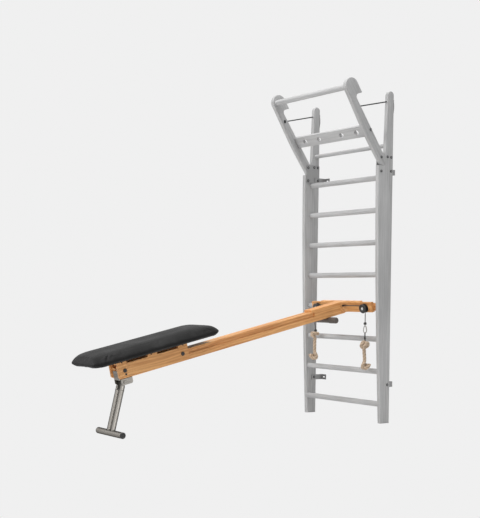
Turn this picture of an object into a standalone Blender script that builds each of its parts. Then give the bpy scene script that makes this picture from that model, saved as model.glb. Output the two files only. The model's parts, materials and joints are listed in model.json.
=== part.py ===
"""Wall bars with a leaning pull-up frame and a sliding bench hooked over a rung.

X runs along the rungs, +Y points at the wall and +Z is up, all in metres. The floor is Z = 0, and the
origin is midway between the wall and the low end of the pad.
"""
import math

import bmesh
import bpy
from mathutils import Matrix, Vector

# The gap kept between pieces that are seated on each other
SEAT = 0.0003

# Posts
FRAME_WIDTH = 0.768
POST_THICKNESS = 0.029
POST_HEIGHT = 2.175
POST_FOOT_DEPTH = 0.076
POST_SHOULDER_DEPTH = 0.128
NECK_DEPTH = 0.068
NECK_TOP_DEPTH = 0.052
EDGE_ROUND = 0.0015

# Rungs, numbered from the top, and let into the posts
RUNG_COUNT = 9
RUNG_PITCH = 0.212
LOWEST_RUNG_HEIGHT = 0.126
RUNG_HEIGHT = 0.036
RUNG_DEPTH = 0.030
RUNG_SET_BACK = 0.069
TOP_RUNG_HEIGHT = 0.028
TOP_RUNG_DEPTH = 0.026
TOP_RUNG_SET_BACK = 0.032
RUNG_TENON = 0.012

# Leaning arms of the pull-up frame
ARM_LEAN = math.radians(36.05)
ARM_END_HEIGHT = 1.7062
ARM_END_RADIUS = 0.0217
ARM_REAR = 0.0352
ARM_MIDDLE_REACH = 0.223
ARM_MIDDLE_FRONT = 0.0256
ARM_NECK_REACH = 0.490
ARM_NECK_FRONT = 0.0118
ARM_BOARD_REACH = 0.229
ARM_ROD_REACH = 0.405
ARM_ROD_ACROSS = 0.010
ARM_HEAD_REACH = 0.5355
ARM_HEAD_RADIUS = 0.054
ARM_HEAD_FRONT = 0.0106
NOTCH_REACH = 0.4715
NOTCH_ROUND = 0.022
BEAK_REACH = 0.461
BEAK_OUT = 0.061
BEAK_ROUND = 0.004
TOP_BAR_RADIUS = 0.019
TOP_BAR_REACH = 0.5456
TOP_BAR_ACROSS = 0.020
TOP_BAR_TENON = 0.012
CROSS_BOARD_HEIGHT = 0.080
CROSS_BOARD_THICKNESS = 0.022
SLOT_WIDTH = 0.038
SLOT_HEIGHT = 0.034
SLOT_INNER_X = 0.114
SLOT_OUTER_X = 0.260

# Steel plates, bolts, tie rods and wall brackets
PLATE_THICKNESS = 0.005
PLATE_DEPTH = 0.117
PLATE_HEIGHT = 0.126
PLATE_DROP = 0.0742
PLATE_BACK_MARGIN = 0.002
PLATE_BOLT_INSET = 0.0145
PLATE_MIDDLE_BOLT = 0.050
BOLT_RADIUS = 0.004
BOLT_HEAD_RADIUS = 0.008
BOLT_HEAD_HEIGHT = 0.004
BOLT_CLEARANCE = 0.0004
ROD_RADIUS = 0.004
ROD_NECK_HEIGHT = 2.118
BARREL_RADIUS = 0.011
BARREL_LENGTH = 0.0215
BARREL_OUT = 0.0015
KEEPER_HEIGHT = 0.096
KEEPER_DROP = 0.040
KEEPER_WIDTH = 0.018
KEEPER_THICKNESS = 0.003
KEEPER_BOW = 0.005
WALL_GAP = 0.055
BRACKET_HEIGHT = 0.036
BRACKET_THICKNESS = 0.004
BRACKET_OVERLAP = 0.045
BRACKET_FLANGE = 0.048
BRACKET_BOLT_SET_BACK = 0.020
BRACKET_SLOT_LENGTH = 0.022
BRACKET_SLOT_HEIGHT = 0.009
UPPER_BRACKET_HEIGHT = 1.652
LOWER_BRACKET_HEIGHT = 0.252

# Bench beam, measured from the rung that it hooks over
HOOK_RUNG = 6
BENCH_X = 0.030
BENCH_SLOPE = math.radians(12.80)
RAIL_LENGTH = 1.778
RAIL_WIDTH = 0.033
RAIL_HEIGHT = 0.0676
RAIL_GAP = 0.008
GROOVE_HEIGHT = 0.0274
GROOVE_DEPTH = 0.010
GROOVE_LIP = 0.006
GROOVE_END = 0.0075
GROOVE_LENGTH = 1.500
HEAD_MARGIN = 0.0275
HEAD_THICKNESS = 0.022
HEAD_HEIGHT = 0.066
HEAD_OVER = 0.006
HEAD_BOARD_THICKNESS = 0.013
HEAD_BOARD_LENGTH = 0.315
HEAD_BOARD_SPAN = 0.390
HEAD_FILLET = 0.040
HEAD_FILLET_LIP = 0.0006
HOOK_THICKNESS = 0.008
HOOK_WIDTH = 0.045
HOOK_INSET = 0.005
HOOK_CLEARANCE = 0.0004
HOOK_TAIL = 0.014
HOOK_LEAF = 0.020
ROPE_SLOT_HEIGHT = 0.014
ROPE_SLOT_LENGTH = 0.024

# Grip tube under the beam
GRIP_RADIUS = 0.018
GRIP_SLEEVE_RADIUS = 0.0205
GRIP_HALF_LENGTH = 0.108
GRIP_END_ROUND = 0.010
GRIP_REACH = 0.197

# Pulleys and ropes
PULLEY_INSET = 0.0635
PULLEY_LIFT = 0.0015
PULLEY_COVER_RADIUS = 0.029
PULLEY_COVER_THICKNESS = 0.004
PULLEY_GAP = 0.0195
PULLEY_ROPE_RADIUS = 0.018
PULLEY_RIM = 0.006
PULLEY_AXLE_RADIUS = 0.004
PULLEY_PLAY = 0.0005
ROPE_RADIUS = 0.0025
ROPE_SPACING = 0.0035
ROPE_BEND = 0.012
ROPE_LOW_END = 1.400
ROPE_SIDES = 2
ROPE_EXIT = 0.031

# Hanging handles, measured from where the rope leaves its pulley block
RIGHT_BALL_DROP = 0.0675
LEFT_BALL_DROP = 0.130
BALL_RADIUS = 0.0105
CLIP_HEIGHT = 0.048
CLIP_WIDTH = 0.028
CLIP_WIRE = 0.0025
LINK_LENGTH = 0.056
LINK_RADIUS = 0.005
KNOT_RADIUS = 0.034
KNOT_HEIGHT = 0.046
HANDLE_SPAN = 0.141
HANDLE_RADIUS = 0.011

# Folding leg
LEG_REACH = 1.800
LEG_PIN_DROP = 0.019
LEG_SPLAY = math.radians(13.0)
LEG_TUBE_RADIUS = 0.014
LEG_TUBE_SPACING = 0.045
LEG_BLOCK_WIDTH = 0.060
LEG_HEAD_LENGTH = 0.050
LEG_HEAD_THICKNESS = 0.022
LEG_PIN_RADIUS = 0.005
LEG_SIDE_PLAY = 0.0005
SHOE_WIDTH = 0.080
SHOE_LENGTH = 0.077
SHOE_DEPTH = 0.036
SHOE_THICKNESS = 0.003
SHOE_CORNER = 0.012
END_PLATE_WIDTH = 0.062
END_PLATE_HEIGHT = 0.053
END_PLATE_SHIFT = 0.005
FOOT_LENGTH = 0.293
FOOT_RADIUS = 0.0185
FOOT_CAP_LENGTH = 0.008

# Carriage and pad
CARRIAGE_REACH = 1.5915
CHEEK_LENGTH = 0.493
CHEEK_THICKNESS = 0.012
CHEEK_OUTER_X = 0.050
CHEEK_LIFT = 0.006
CHEEK_BODY_OVER = 0.0205
CHEEK_CORNER = 0.015
TOOTH_LENGTH = 0.066
TOOTH_OVER = 0.0445
MIDDLE_TOOTH_OFFSET = -0.002
SLAT_THICKNESS = 0.020
WHEEL_SPACING = 0.404
WHEEL_CENTRE_SHIFT = 0.0015
WHEEL_RADIUS = 0.0131
WHEEL_THICKNESS = 0.0085
WHEEL_AXLE_RADIUS = 0.005
WHEEL_CAP_RADIUS = 0.012
WHEEL_CAP_HEIGHT = 0.005
WHEEL_PLAY = 0.0005
PAD_BOARD_THICKNESS = 0.007
PAD_BOARD_INSET = 0.060
PAD_LENGTH = 0.877
PAD_WIDTH = 0.340
PAD_THICKNESS = 0.065
PAD_CROWN = 0.025
PAD_SHIFT = -0.001

# What follows from the sizes above
POST_X = (FRAME_WIDTH - POST_THICKNESS) / 2
INNER_X = POST_X - POST_THICKNESS / 2
OUTER_X = POST_X + POST_THICKNESS / 2
ARM_END_Y = -(NECK_DEPTH + SEAT + ARM_END_RADIUS)
CRADLE_RADIUS = ARM_END_RADIUS + SEAT
SHOULDER_HEIGHT = ARM_END_HEIGHT - CRADLE_RADIUS
PLATE_BOTTOM = ARM_END_HEIGHT - PLATE_DROP
BEAM_TOP = RAIL_HEIGHT / 2
BEAM_BOTTOM = -RAIL_HEIGHT / 2
HOOK_INNER = RUNG_HEIGHT / 2 + HOOK_CLEARANCE
HOOK_OUTER = HOOK_INNER + HOOK_THICKNESS
HEAD_LENGTH = 2 * (INNER_X - BENCH_X - HEAD_MARGIN)
HEAD_BACK = -(HOOK_OUTER + SEAT)
HEAD_FRONT = HEAD_BACK - HEAD_THICKNESS
HEAD_BOTTOM = BEAM_TOP + HEAD_OVER - HEAD_HEIGHT
HOOK_X = HEAD_LENGTH / 2 - HOOK_INSET
PULLEY_X = HEAD_LENGTH / 2 - PULLEY_INSET
RAIL_HEAD_END = HEAD_FRONT - SEAT
RAIL_LOW_END = RAIL_HEAD_END - RAIL_LENGTH
RAIL_X = RAIL_GAP / 2 + RAIL_WIDTH / 2
BEAM_HALF_WIDTH = RAIL_GAP / 2 + RAIL_WIDTH
GROOVE_TOP = BEAM_TOP - GROOVE_LIP
GROOVE_BOTTOM = GROOVE_TOP - GROOVE_HEIGHT
WHEEL_Z = GROOVE_BOTTOM + WHEEL_RADIUS + SEAT
PULLEY_Z = PULLEY_LIFT
ROPE_Y = HEAD_FRONT - SEAT - PULLEY_COVER_THICKNESS - PULLEY_GAP / 2
ROPE_RUN_Z = PULLEY_Z + PULLEY_ROPE_RADIUS
TOOTH_TOP = BEAM_TOP + TOOTH_OVER
CHEEK_BODY_TOP = BEAM_TOP + CHEEK_BODY_OVER
CHEEK_BOTTOM = BEAM_BOTTOM + CHEEK_LIFT
CHEEK_X = CHEEK_OUTER_X - CHEEK_THICKNESS / 2
CHEEK_INNER_X = CHEEK_OUTER_X - CHEEK_THICKNESS
PAD_BOARD_Z = TOOTH_TOP + SEAT + PAD_BOARD_THICKNESS / 2
PAD_BASE_Z = TOOTH_TOP + SEAT + PAD_BOARD_THICKNESS + SEAT
PAD_Y = PAD_SHIFT
PIVOT_RUNG_HEIGHT = LOWEST_RUNG_HEIGHT + (RUNG_COUNT - HOOK_RUNG) * RUNG_PITCH
LEG_PIVOT_Z = BEAM_BOTTOM - LEG_PIN_DROP
PAD_LOW_LOCAL = Vector((
    0.0,
    -CARRIAGE_REACH + PAD_Y - PAD_LENGTH / 2,
    PAD_BASE_Z + (PAD_THICKNESS - PAD_CROWN) / 2,
))
PAD_LOW_Y = -RUNG_SET_BACK + (Matrix.Rotation(BENCH_SLOPE, 3, "X") @ PAD_LOW_LOCAL).y
BACK_Y = -(WALL_GAP + PAD_LOW_Y) / 2
SIDE_VIEW = (math.pi / 2, 0.0, math.pi / 2)


# Scene, materials and placing

def clear_scene():
    """Remove the objects that are in the file."""
    for item in list(bpy.data.objects):
        bpy.data.objects.remove(item, do_unlink=True)


def make_finish(name, colour, roughness, metallic=0.0):
    """A Principled material."""
    finish = bpy.data.materials.new(name)
    finish.use_nodes = True
    shader = finish.node_tree.nodes["Principled BSDF"]
    shader.inputs["Base Color"].default_value = (*colour, 1.0)
    shader.inputs["Roughness"].default_value = roughness
    shader.inputs["Metallic"].default_value = metallic
    finish.diffuse_color = (*colour, 1.0)
    return finish


def empty(name, parent, location, turn=(0.0, 0.0, 0.0)):
    """An empty that other pieces hang from."""
    item = bpy.data.objects.new(name, None)
    item.empty_display_size = 0.05
    item.parent = parent
    item.location = location
    item.rotation_euler = turn
    PARTS.objects.link(item)
    return item


def place(name, mesh, finish, parent, location=(0.0, 0.0, 0.0), turn=(0.0, 0.0, 0.0)):
    """Put a mesh in the scene as a piece."""
    piece = bpy.data.objects.new(name, mesh)
    piece.parent = parent
    piece.location = location
    piece.rotation_euler = turn
    if finish:
        mesh.materials.clear()
        mesh.materials.append(finish)
    PARTS.objects.link(piece)
    return piece


def as_tool(piece):
    """Keep a shape as a cutter or as a form that is joined to another piece."""
    PARTS.objects.unlink(piece)
    TOOLS.objects.link(piece)
    piece.hide_render = True
    piece.display_type = "WIRE"
    return piece


def combine(piece, tool, operation):
    """Join a tool to a piece, or cut it out."""
    change = piece.modifiers.new(tool.name, "BOOLEAN")
    change.operation = operation
    change.solver = "EXACT"
    change.object = tool
    if tool.name not in TOOLS.objects:
        as_tool(tool)


def cut(piece, *tools):
    """Cut the tools out of a piece."""
    for tool in tools:
        combine(piece, tool, "DIFFERENCE")


def join(piece, *tools):
    """Join the tools to a piece."""
    for tool in tools:
        combine(piece, tool, "UNION")


def round_edges(piece, width, segments=1):
    """Round the sharp edges of a piece."""
    rounding = piece.modifiers.new("Rounded edges", "BEVEL")
    rounding.width = width
    rounding.segments = segments
    rounding.limit_method = "ANGLE"
    rounding.angle_limit = math.radians(50)
    rounding.use_clamp_overlap = True


def smooth(mesh, angle=35.0):
    """Shade a mesh smooth, with sharp edges kept."""
    mesh.shade_smooth()
    mesh.set_sharp_from_angle(angle=math.radians(angle))


# Shapes

def box(name, size, centre, finish, parent, edge=0.0, turn=(0.0, 0.0, 0.0)):
    """A box about its centre."""
    mesh = bpy.data.meshes.new(name)
    form = bmesh.new()
    bmesh.ops.create_cube(form, size=1.0)
    bmesh.ops.scale(form, vec=size, verts=form.verts)
    form.to_mesh(mesh)
    form.free()
    piece = place(name, mesh, finish, parent, centre, turn)
    if edge:
        round_edges(piece, edge)
    return piece


def bar(name, radius, length, centre, along, finish, parent, sides=24, squeeze=(1.0, 1.0)):
    """A round bar about its centre, along X, Y or Z; squeeze makes it oval."""
    mesh = bpy.data.meshes.new(name)
    form = bmesh.new()
    bmesh.ops.create_cone(
        form, cap_ends=True, segments=sides, radius1=radius, radius2=radius, depth=length
    )
    bmesh.ops.scale(form, vec=(squeeze[0], squeeze[1], 1.0), verts=form.verts)
    turns = {
        "X": Matrix(((0, 0, 1), (1, 0, 0), (0, 1, 0))),
        "Y": Matrix(((0, 1, 0), (0, 0, 1), (1, 0, 0))),
        "Z": Matrix.Identity(3),
    }
    bmesh.ops.transform(form, matrix=turns[along].to_4x4(), verts=form.verts)
    form.to_mesh(mesh)
    form.free()
    smooth(mesh)
    return place(name, mesh, finish, parent, centre)


def ball(name, radius, centre, finish, parent, stretch=(1.0, 1.0, 1.0), rings=10):
    """A ball, or an egg shape."""
    mesh = bpy.data.meshes.new(name)
    form = bmesh.new()
    bmesh.ops.create_uvsphere(form, u_segments=rings * 2, v_segments=rings, radius=radius)
    bmesh.ops.scale(form, vec=stretch, verts=form.verts)
    form.to_mesh(mesh)
    form.free()
    smooth(mesh)
    return place(name, mesh, finish, parent, centre)


def mesh_from_curve(curve_object, finish, edge=0.0):
    """Swap a curve for a closed mesh of the same shape and place."""
    bpy.context.view_layer.update()
    graph = bpy.context.evaluated_depsgraph_get()
    mesh = bpy.data.meshes.new_from_object(curve_object.evaluated_get(graph))
    form = bmesh.new()
    form.from_mesh(mesh)
    bmesh.ops.remove_doubles(form, verts=form.verts, dist=0.00001)
    bmesh.ops.recalc_face_normals(form, faces=form.faces)
    form.to_mesh(mesh)
    form.free()
    name = curve_object.name
    parent = curve_object.parent
    location = curve_object.location.copy()
    turn = curve_object.rotation_euler.copy()
    bpy.data.objects.remove(curve_object, do_unlink=True)
    mesh.name = name
    piece = place(name, mesh, finish, parent, location, turn)
    piece.name = name
    if edge:
        round_edges(piece, edge)
    return piece


def board(name, points, thickness, centre, finish, parent, turn=SIDE_VIEW, edge=0.0):
    """A flat outline with a thickness; by default it is drawn in side view, as (Y, Z)."""
    curve = bpy.data.curves.new(name, "CURVE")
    curve.dimensions = "2D"
    curve.fill_mode = "BOTH"
    curve.extrude = thickness / 2
    line = curve.splines.new("POLY")
    line.points.add(len(points) - 1)
    for point, (across, up) in zip(line.points, points):
        point.co = (across, up, 0.0, 1.0)
    line.use_cyclic_u = True
    item = place(name, curve, None, parent, centre, turn)
    return mesh_from_curve(item, finish, edge)


def tube(name, points, radius, centre, finish, parent, sides=2, closed=False):
    """A round tube through points."""
    curve = bpy.data.curves.new(name, "CURVE")
    curve.dimensions = "3D"
    curve.bevel_depth = radius
    curve.bevel_resolution = sides
    curve.use_fill_caps = True
    line = curve.splines.new("POLY")
    line.points.add(len(points) - 1)
    for point, place_at in zip(line.points, points):
        point.co = (*place_at, 1.0)
    line.use_cyclic_u = closed
    item = place(name, curve, None, parent, centre)
    piece = mesh_from_curve(item, finish)
    smooth(piece.data, 50.0)
    return piece


def turned(name, profile, centre, along, finish, parent, steps=24):
    """A turned piece: (radius, height) pairs run from the top of its axis to the bottom."""
    mesh = bpy.data.meshes.new(name)
    points = [(radius, 0.0, height) for radius, height in profile]
    edges = [(index, index + 1) for index in range(len(points) - 1)]
    if profile[0][0] > 0.0:
        edges.append((len(points) - 1, 0))
    mesh.from_pydata(points, edges, [])
    turns = {"X": (0.0, math.pi / 2, 0.0), "Y": (-math.pi / 2, 0.0, 0.0), "Z": (0.0, 0.0, 0.0)}
    piece = place(name, mesh, finish, parent, centre, turns[along])
    lathe = piece.modifiers.new("Turned", "SCREW")
    lathe.axis = "Z"
    lathe.angle = math.tau
    lathe.steps = steps
    lathe.render_steps = steps
    lathe.use_merge_vertices = True
    lathe.merge_threshold = 0.00001
    lathe.use_smooth_shade = True
    return piece


def arc(centre, radius, start, end, steps):
    """Points on an arc; the angles are in degrees."""
    points = []
    for index in range(steps + 1):
        angle = math.radians(start + (end - start) * index / steps)
        points.append((centre[0] + radius * math.cos(angle), centre[1] + radius * math.sin(angle)))
    return points


def rounded_rectangle(width, height, radius, steps=3):
    """A rectangle with round corners, about its centre."""
    across = width / 2 - radius
    up = height / 2 - radius
    points = []
    for quarter, (side, level) in enumerate(((1, 1), (-1, 1), (-1, -1), (1, -1))):
        points += arc((side * across, level * up), radius, quarter * 90, quarter * 90 + 90, steps)
    return points


def smooth_route(knots, steps):
    """Points of a smooth curve through knots, with the ends kept."""
    points = [Vector(knot) for knot in knots]
    padded = [points[0] * 2 - points[1], *points, points[-1] * 2 - points[-2]]
    route = []
    for index in range(1, len(padded) - 2):
        before, start, end, after = padded[index - 1:index + 3]
        for step in range(steps):
            t = step / steps
            route.append(0.5 * (
                2 * start
                + (end - before) * t
                + (2 * before - 5 * start + 4 * end - after) * t ** 2
                + (3 * start - before - 3 * end + after) * t ** 3
            ))
    route.append(points[-1])
    return route


# Posts and rungs

def rung_height(number):
    """Height of a rung's axis; rung 1 is the top one."""
    return LOWEST_RUNG_HEIGHT + (RUNG_COUNT - number) * RUNG_PITCH


def rung_section(number):
    """Height, depth and set-back of a rung."""
    if number == 1:
        return TOP_RUNG_HEIGHT, TOP_RUNG_DEPTH, TOP_RUNG_SET_BACK
    return RUNG_HEIGHT, RUNG_DEPTH, RUNG_SET_BACK


def rung_bar(name, number, length, grow, finish):
    """An oval bar at a rung's place."""
    height, depth, set_back = rung_section(number)
    squeeze = ((depth + grow * 2) / (height + grow * 2), 1.0)
    centre = (0.0, -set_back, rung_height(number))
    return bar(name, height / 2 + grow, length, centre, "X", finish, FRAME, 20, squeeze)


def post_outline():
    """Side outline of a post, from the back of its foot round the front to its top."""
    points = [(0.0, 0.0)]
    steps = 12
    for index in range(steps + 1):
        share = index / steps
        swell = math.sin(share * math.pi / 2)
        depth = POST_FOOT_DEPTH + (POST_SHOULDER_DEPTH - POST_FOOT_DEPTH) * swell
        points.append((-depth, SHOULDER_HEIGHT * share))
    points += arc((ARM_END_Y, ARM_END_HEIGHT), CRADLE_RADIUS, 270, 360, 8)
    top_radius = NECK_TOP_DEPTH / 2
    points += arc((-top_radius, POST_HEIGHT - top_radius), top_radius, 180, 0, 12)
    return points


def build_posts():
    """Both posts, with the rungs' mortises."""
    for side, name in ((-1, "post_left"), (1, "post_right")):
        post = board(name, post_outline(), POST_THICKNESS, (side * POST_X, 0.0, 0.0), GREY_WOOD, FRAME)
        round_edges(post, EDGE_ROUND)
        POSTS[side] = post
    mortise_length = (INNER_X + RUNG_TENON + SEAT) * 2
    for number in range(1, RUNG_COUNT + 1):
        mortise = rung_bar(f"mortise_{number}", number, mortise_length, SEAT, None)
        cut(POSTS[-1], mortise)
        cut(POSTS[1], mortise)
        rung_bar(f"rung_{number}", number, (INNER_X + RUNG_TENON) * 2, 0.0, GREY_WOOD)


# Pull-up frame

def along_arm(reach, across=0.0):
    """A point of the arm in side view; across is positive towards the wall."""
    lean_y, lean_z = -math.sin(ARM_LEAN), math.cos(ARM_LEAN)
    return (
        ARM_END_Y + reach * lean_y + across * lean_z,
        ARM_END_HEIGHT + reach * lean_z - across * lean_y,
    )


def arm_arc(reach, across, radius, start, end, steps):
    """An arc about a point of the arm; 0 degrees points up the arm and 90 towards the wall."""
    return [along_arm(*point) for point in arc((reach, across), radius, start, end, steps)]


def arm_outline():
    """Side outline of an arm: a round lower end, flat against the neck, and a head with a beak behind it."""
    lean = math.degrees(ARM_LEAN)
    points = arc((ARM_END_Y, ARM_END_HEIGHT), ARM_END_RADIUS, lean + 180, 360, 9)
    neck_reach = (ARM_REAR * math.cos(ARM_LEAN) - ARM_END_RADIUS) / math.sin(ARM_LEAN)
    points.append(along_arm(neck_reach, ARM_REAR))
    points += arm_arc(NOTCH_REACH - NOTCH_ROUND, ARM_REAR + NOTCH_ROUND, NOTCH_ROUND, -90, 0, 6)
    points += arm_arc(BEAK_REACH + BEAK_ROUND, ARM_REAR + BEAK_OUT - BEAK_ROUND, BEAK_ROUND, 180, 90, 4)
    points += arm_arc(ARM_HEAD_REACH, ARM_HEAD_RADIUS - ARM_HEAD_FRONT, ARM_HEAD_RADIUS, 90, -90, 16)
    points.append(along_arm(ARM_NECK_REACH, -ARM_NECK_FRONT))
    points.append(along_arm(ARM_MIDDLE_REACH, -ARM_MIDDLE_FRONT))
    return points


def build_arms():
    """The leaning arms, the pull-up bar and the cross board."""
    bar_y, bar_z = along_arm(TOP_BAR_REACH, TOP_BAR_ACROSS)
    tenon = bar("bar_mortise", TOP_BAR_RADIUS + SEAT, (INNER_X + TOP_BAR_TENON + SEAT) * 2,
                (0.0, bar_y, bar_z), "X", None, FRAME, 20)
    for side, name in ((-1, "arm_left"), (1, "arm_right")):
        arm = board(name, arm_outline(), POST_THICKNESS, (side * POST_X, 0.0, 0.0), GREY_WOOD, FRAME)
        round_edges(arm, EDGE_ROUND)
        cut(arm, tenon)
        ARMS[side] = arm
    bar("top_bar", TOP_BAR_RADIUS, (INNER_X + TOP_BAR_TENON) * 2, (0.0, bar_y, bar_z), "X",
        GREY_WOOD, FRAME, 20)
    build_cross_board()


def build_cross_board():
    """The slotted board between the arms, flush with their rear edges, and its two bolts."""
    centre_y, centre_z = along_arm(ARM_BOARD_REACH, ARM_REAR - CROSS_BOARD_THICKNESS / 2)
    turn = (ARM_LEAN, 0.0, 0.0)
    size = ((INNER_X - SEAT) * 2, CROSS_BOARD_THICKNESS, CROSS_BOARD_HEIGHT)
    cross = box("cross_board", size, (0.0, centre_y, centre_z), GREY_WOOD, FRAME, 0.002, turn)
    for number, x in enumerate((-SLOT_OUTER_X, -SLOT_INNER_X, SLOT_INNER_X, SLOT_OUTER_X)):
        outline = rounded_rectangle(SLOT_WIDTH, SLOT_HEIGHT, SLOT_HEIGHT / 2 - 0.0005, 4)
        slot = board(f"slot_{number}", outline, CROSS_BOARD_THICKNESS * 3, (x, centre_y, centre_z),
                     None, FRAME, (math.pi / 2 + ARM_LEAN, 0.0, 0.0))
        cut(cross, slot)
    for side in (-1, 1):
        hole = bar(f"board_hole_{side}", BOLT_RADIUS + BOLT_CLEARANCE, POST_THICKNESS * 3,
                   (side * POST_X, centre_y, centre_z), "X", None, FRAME, 12)
        cut(ARMS[side], hole)
        join(cross, *bolt(f"board_bolt_{side}", side, centre_y, centre_z, INNER_X - 0.01, OUTER_X))


def bolt(name, side, y, z, inner_x, outer_x):
    """A bolt through a post: a shank from inner_x out to a domed head on outer_x."""
    inner_x = min(inner_x, outer_x)
    head_start = outer_x + SEAT
    shank_length = head_start + BOLT_HEAD_HEIGHT / 2 - inner_x
    shank_x = side * (inner_x + shank_length / 2)
    shank = bar(f"{name}_shank", BOLT_RADIUS, shank_length, (shank_x, y, z), "X", None, FRAME, 12)
    head_x = side * (head_start + BOLT_HEAD_HEIGHT / 2)
    head = bar(f"{name}_head", BOLT_HEAD_RADIUS, BOLT_HEAD_HEIGHT, (head_x, y, z), "X", None, FRAME, 16)
    return shank, head


def plate_bolts():
    """Places of the plate's bolts, as (Y, Z) and whether the arm is what they hold."""
    back = -(PLATE_BACK_MARGIN + PLATE_BOLT_INSET)
    front = -(PLATE_BACK_MARGIN + PLATE_DEPTH - PLATE_BOLT_INSET)
    top = PLATE_BOTTOM + PLATE_HEIGHT - PLATE_BOLT_INSET
    bottom = PLATE_BOTTOM + PLATE_BOLT_INSET
    return (
        (back, top, False),
        (-PLATE_MIDDLE_BOLT, top, False),
        (front, top - 0.006, True),
        (front, bottom, False),
    )


def build_plates():
    """The steel plates on the posts' inner faces, with their bolts."""
    centre_y = -(PLATE_BACK_MARGIN + PLATE_DEPTH / 2)
    centre_z = PLATE_BOTTOM + PLATE_HEIGHT / 2
    plate_x = INNER_X - SEAT - PLATE_THICKNESS / 2
    for side, name in ((-1, "plate_left"), (1, "plate_right")):
        plate = board(name, rounded_rectangle(PLATE_DEPTH, PLATE_HEIGHT, 0.006, 2), PLATE_THICKNESS,
                      (side * plate_x, centre_y, centre_z), DARK_STEEL, FRAME)
        for number, (y, z, holds_arm) in enumerate(plate_bolts()):
            target = ARMS[side] if holds_arm else POSTS[side]
            hole = bar(f"{name}_hole_{number}", BOLT_RADIUS + BOLT_CLEARANCE, POST_THICKNESS * 3,
                       (side * POST_X, y, z), "X", None, FRAME, 12)
            cut(target, hole)
            inner = INNER_X - PLATE_THICKNESS - BOLT_HEAD_HEIGHT
            join(plate, *bolt(f"{name}_bolt_{number}", side, y, z, inner, OUTER_X))
            nut_x = side * (INNER_X - SEAT - PLATE_THICKNESS - BOLT_HEAD_HEIGHT / 2 + 0.0005)
            nut = bar(f"{name}_nut_{number}", BOLT_HEAD_RADIUS, BOLT_HEAD_HEIGHT + 0.001,
                      (nut_x, y, z), "X", None, FRAME, 6)
            join(plate, nut)


def build_tie_rods():
    """Tie rods from a cross dowel in each arm's inner face to a bowed keeper behind each post's neck."""
    start = Vector(along_arm(ARM_ROD_REACH, ARM_ROD_ACROSS))
    end = Vector((0.0, ROD_NECK_HEIGHT))
    line = (end - start).normalized()
    slope = math.atan2(line.y, line.x)
    tail = end + line * (KEEPER_THICKNESS + KEEPER_BOW + 0.004)
    length = (tail - start).length
    middle = (start + tail) / 2
    for side, hand in ((-1, "left"), (1, "right")):
        x = side * POST_X
        rod = bar(f"tie_rod_{hand}", ROD_RADIUS, length, (x, middle.x, middle.y), "Y", STEEL, FRAME, 12)
        rod.rotation_euler = (slope, 0.0, 0.0)
        bore = bar(f"tie_bore_{hand}", ROD_RADIUS + BOLT_CLEARANCE, length * 1.2,
                   (x, middle.x, middle.y), "Y", None, FRAME, 12)
        bore.rotation_euler = (slope, 0.0, 0.0)
        cut(POSTS[side], bore)
        arm_bore = bar(f"tie_arm_bore_{hand}", ROD_RADIUS + BOLT_CLEARANCE, 0.12,
                       (x, *(start + line * 0.06)), "Y", None, FRAME, 12)
        arm_bore.rotation_euler = (slope, 0.0, 0.0)
        dowel_hole = bar(f"dowel_hole_{hand}", BARREL_RADIUS + BOLT_CLEARANCE,
                         (BARREL_LENGTH + BOLT_CLEARANCE) * 2, (side * INNER_X, *start), "X", None, FRAME, 16)
        cut(ARMS[side], arm_bore, dowel_hole)
        dowel_x = side * (INNER_X + (BARREL_LENGTH - BARREL_OUT) / 2)
        dowel = bar(f"dowel_{hand}", BARREL_RADIUS, BARREL_LENGTH + BARREL_OUT, (dowel_x, *start), "X", None,
                    FRAME, 16)
        join(rod, dowel)
        outline = []
        steps = 8
        half = KEEPER_HEIGHT / 2
        for index in range(steps + 1):
            share = index / steps
            outline.append((SEAT + KEEPER_THICKNESS + KEEPER_BOW * math.sin(share * math.pi),
                            -half + share * KEEPER_HEIGHT))
        for index in range(steps + 1):
            share = 1 - index / steps
            outline.append((SEAT + KEEPER_BOW * math.sin(share * math.pi) * 0.6,
                            -half + share * KEEPER_HEIGHT))
        keeper_z = ROD_NECK_HEIGHT - KEEPER_DROP
        keeper = board(f"keeper_{hand}", outline, KEEPER_WIDTH, (x, 0.0, keeper_z), None, FRAME)
        join(rod, keeper)


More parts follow.
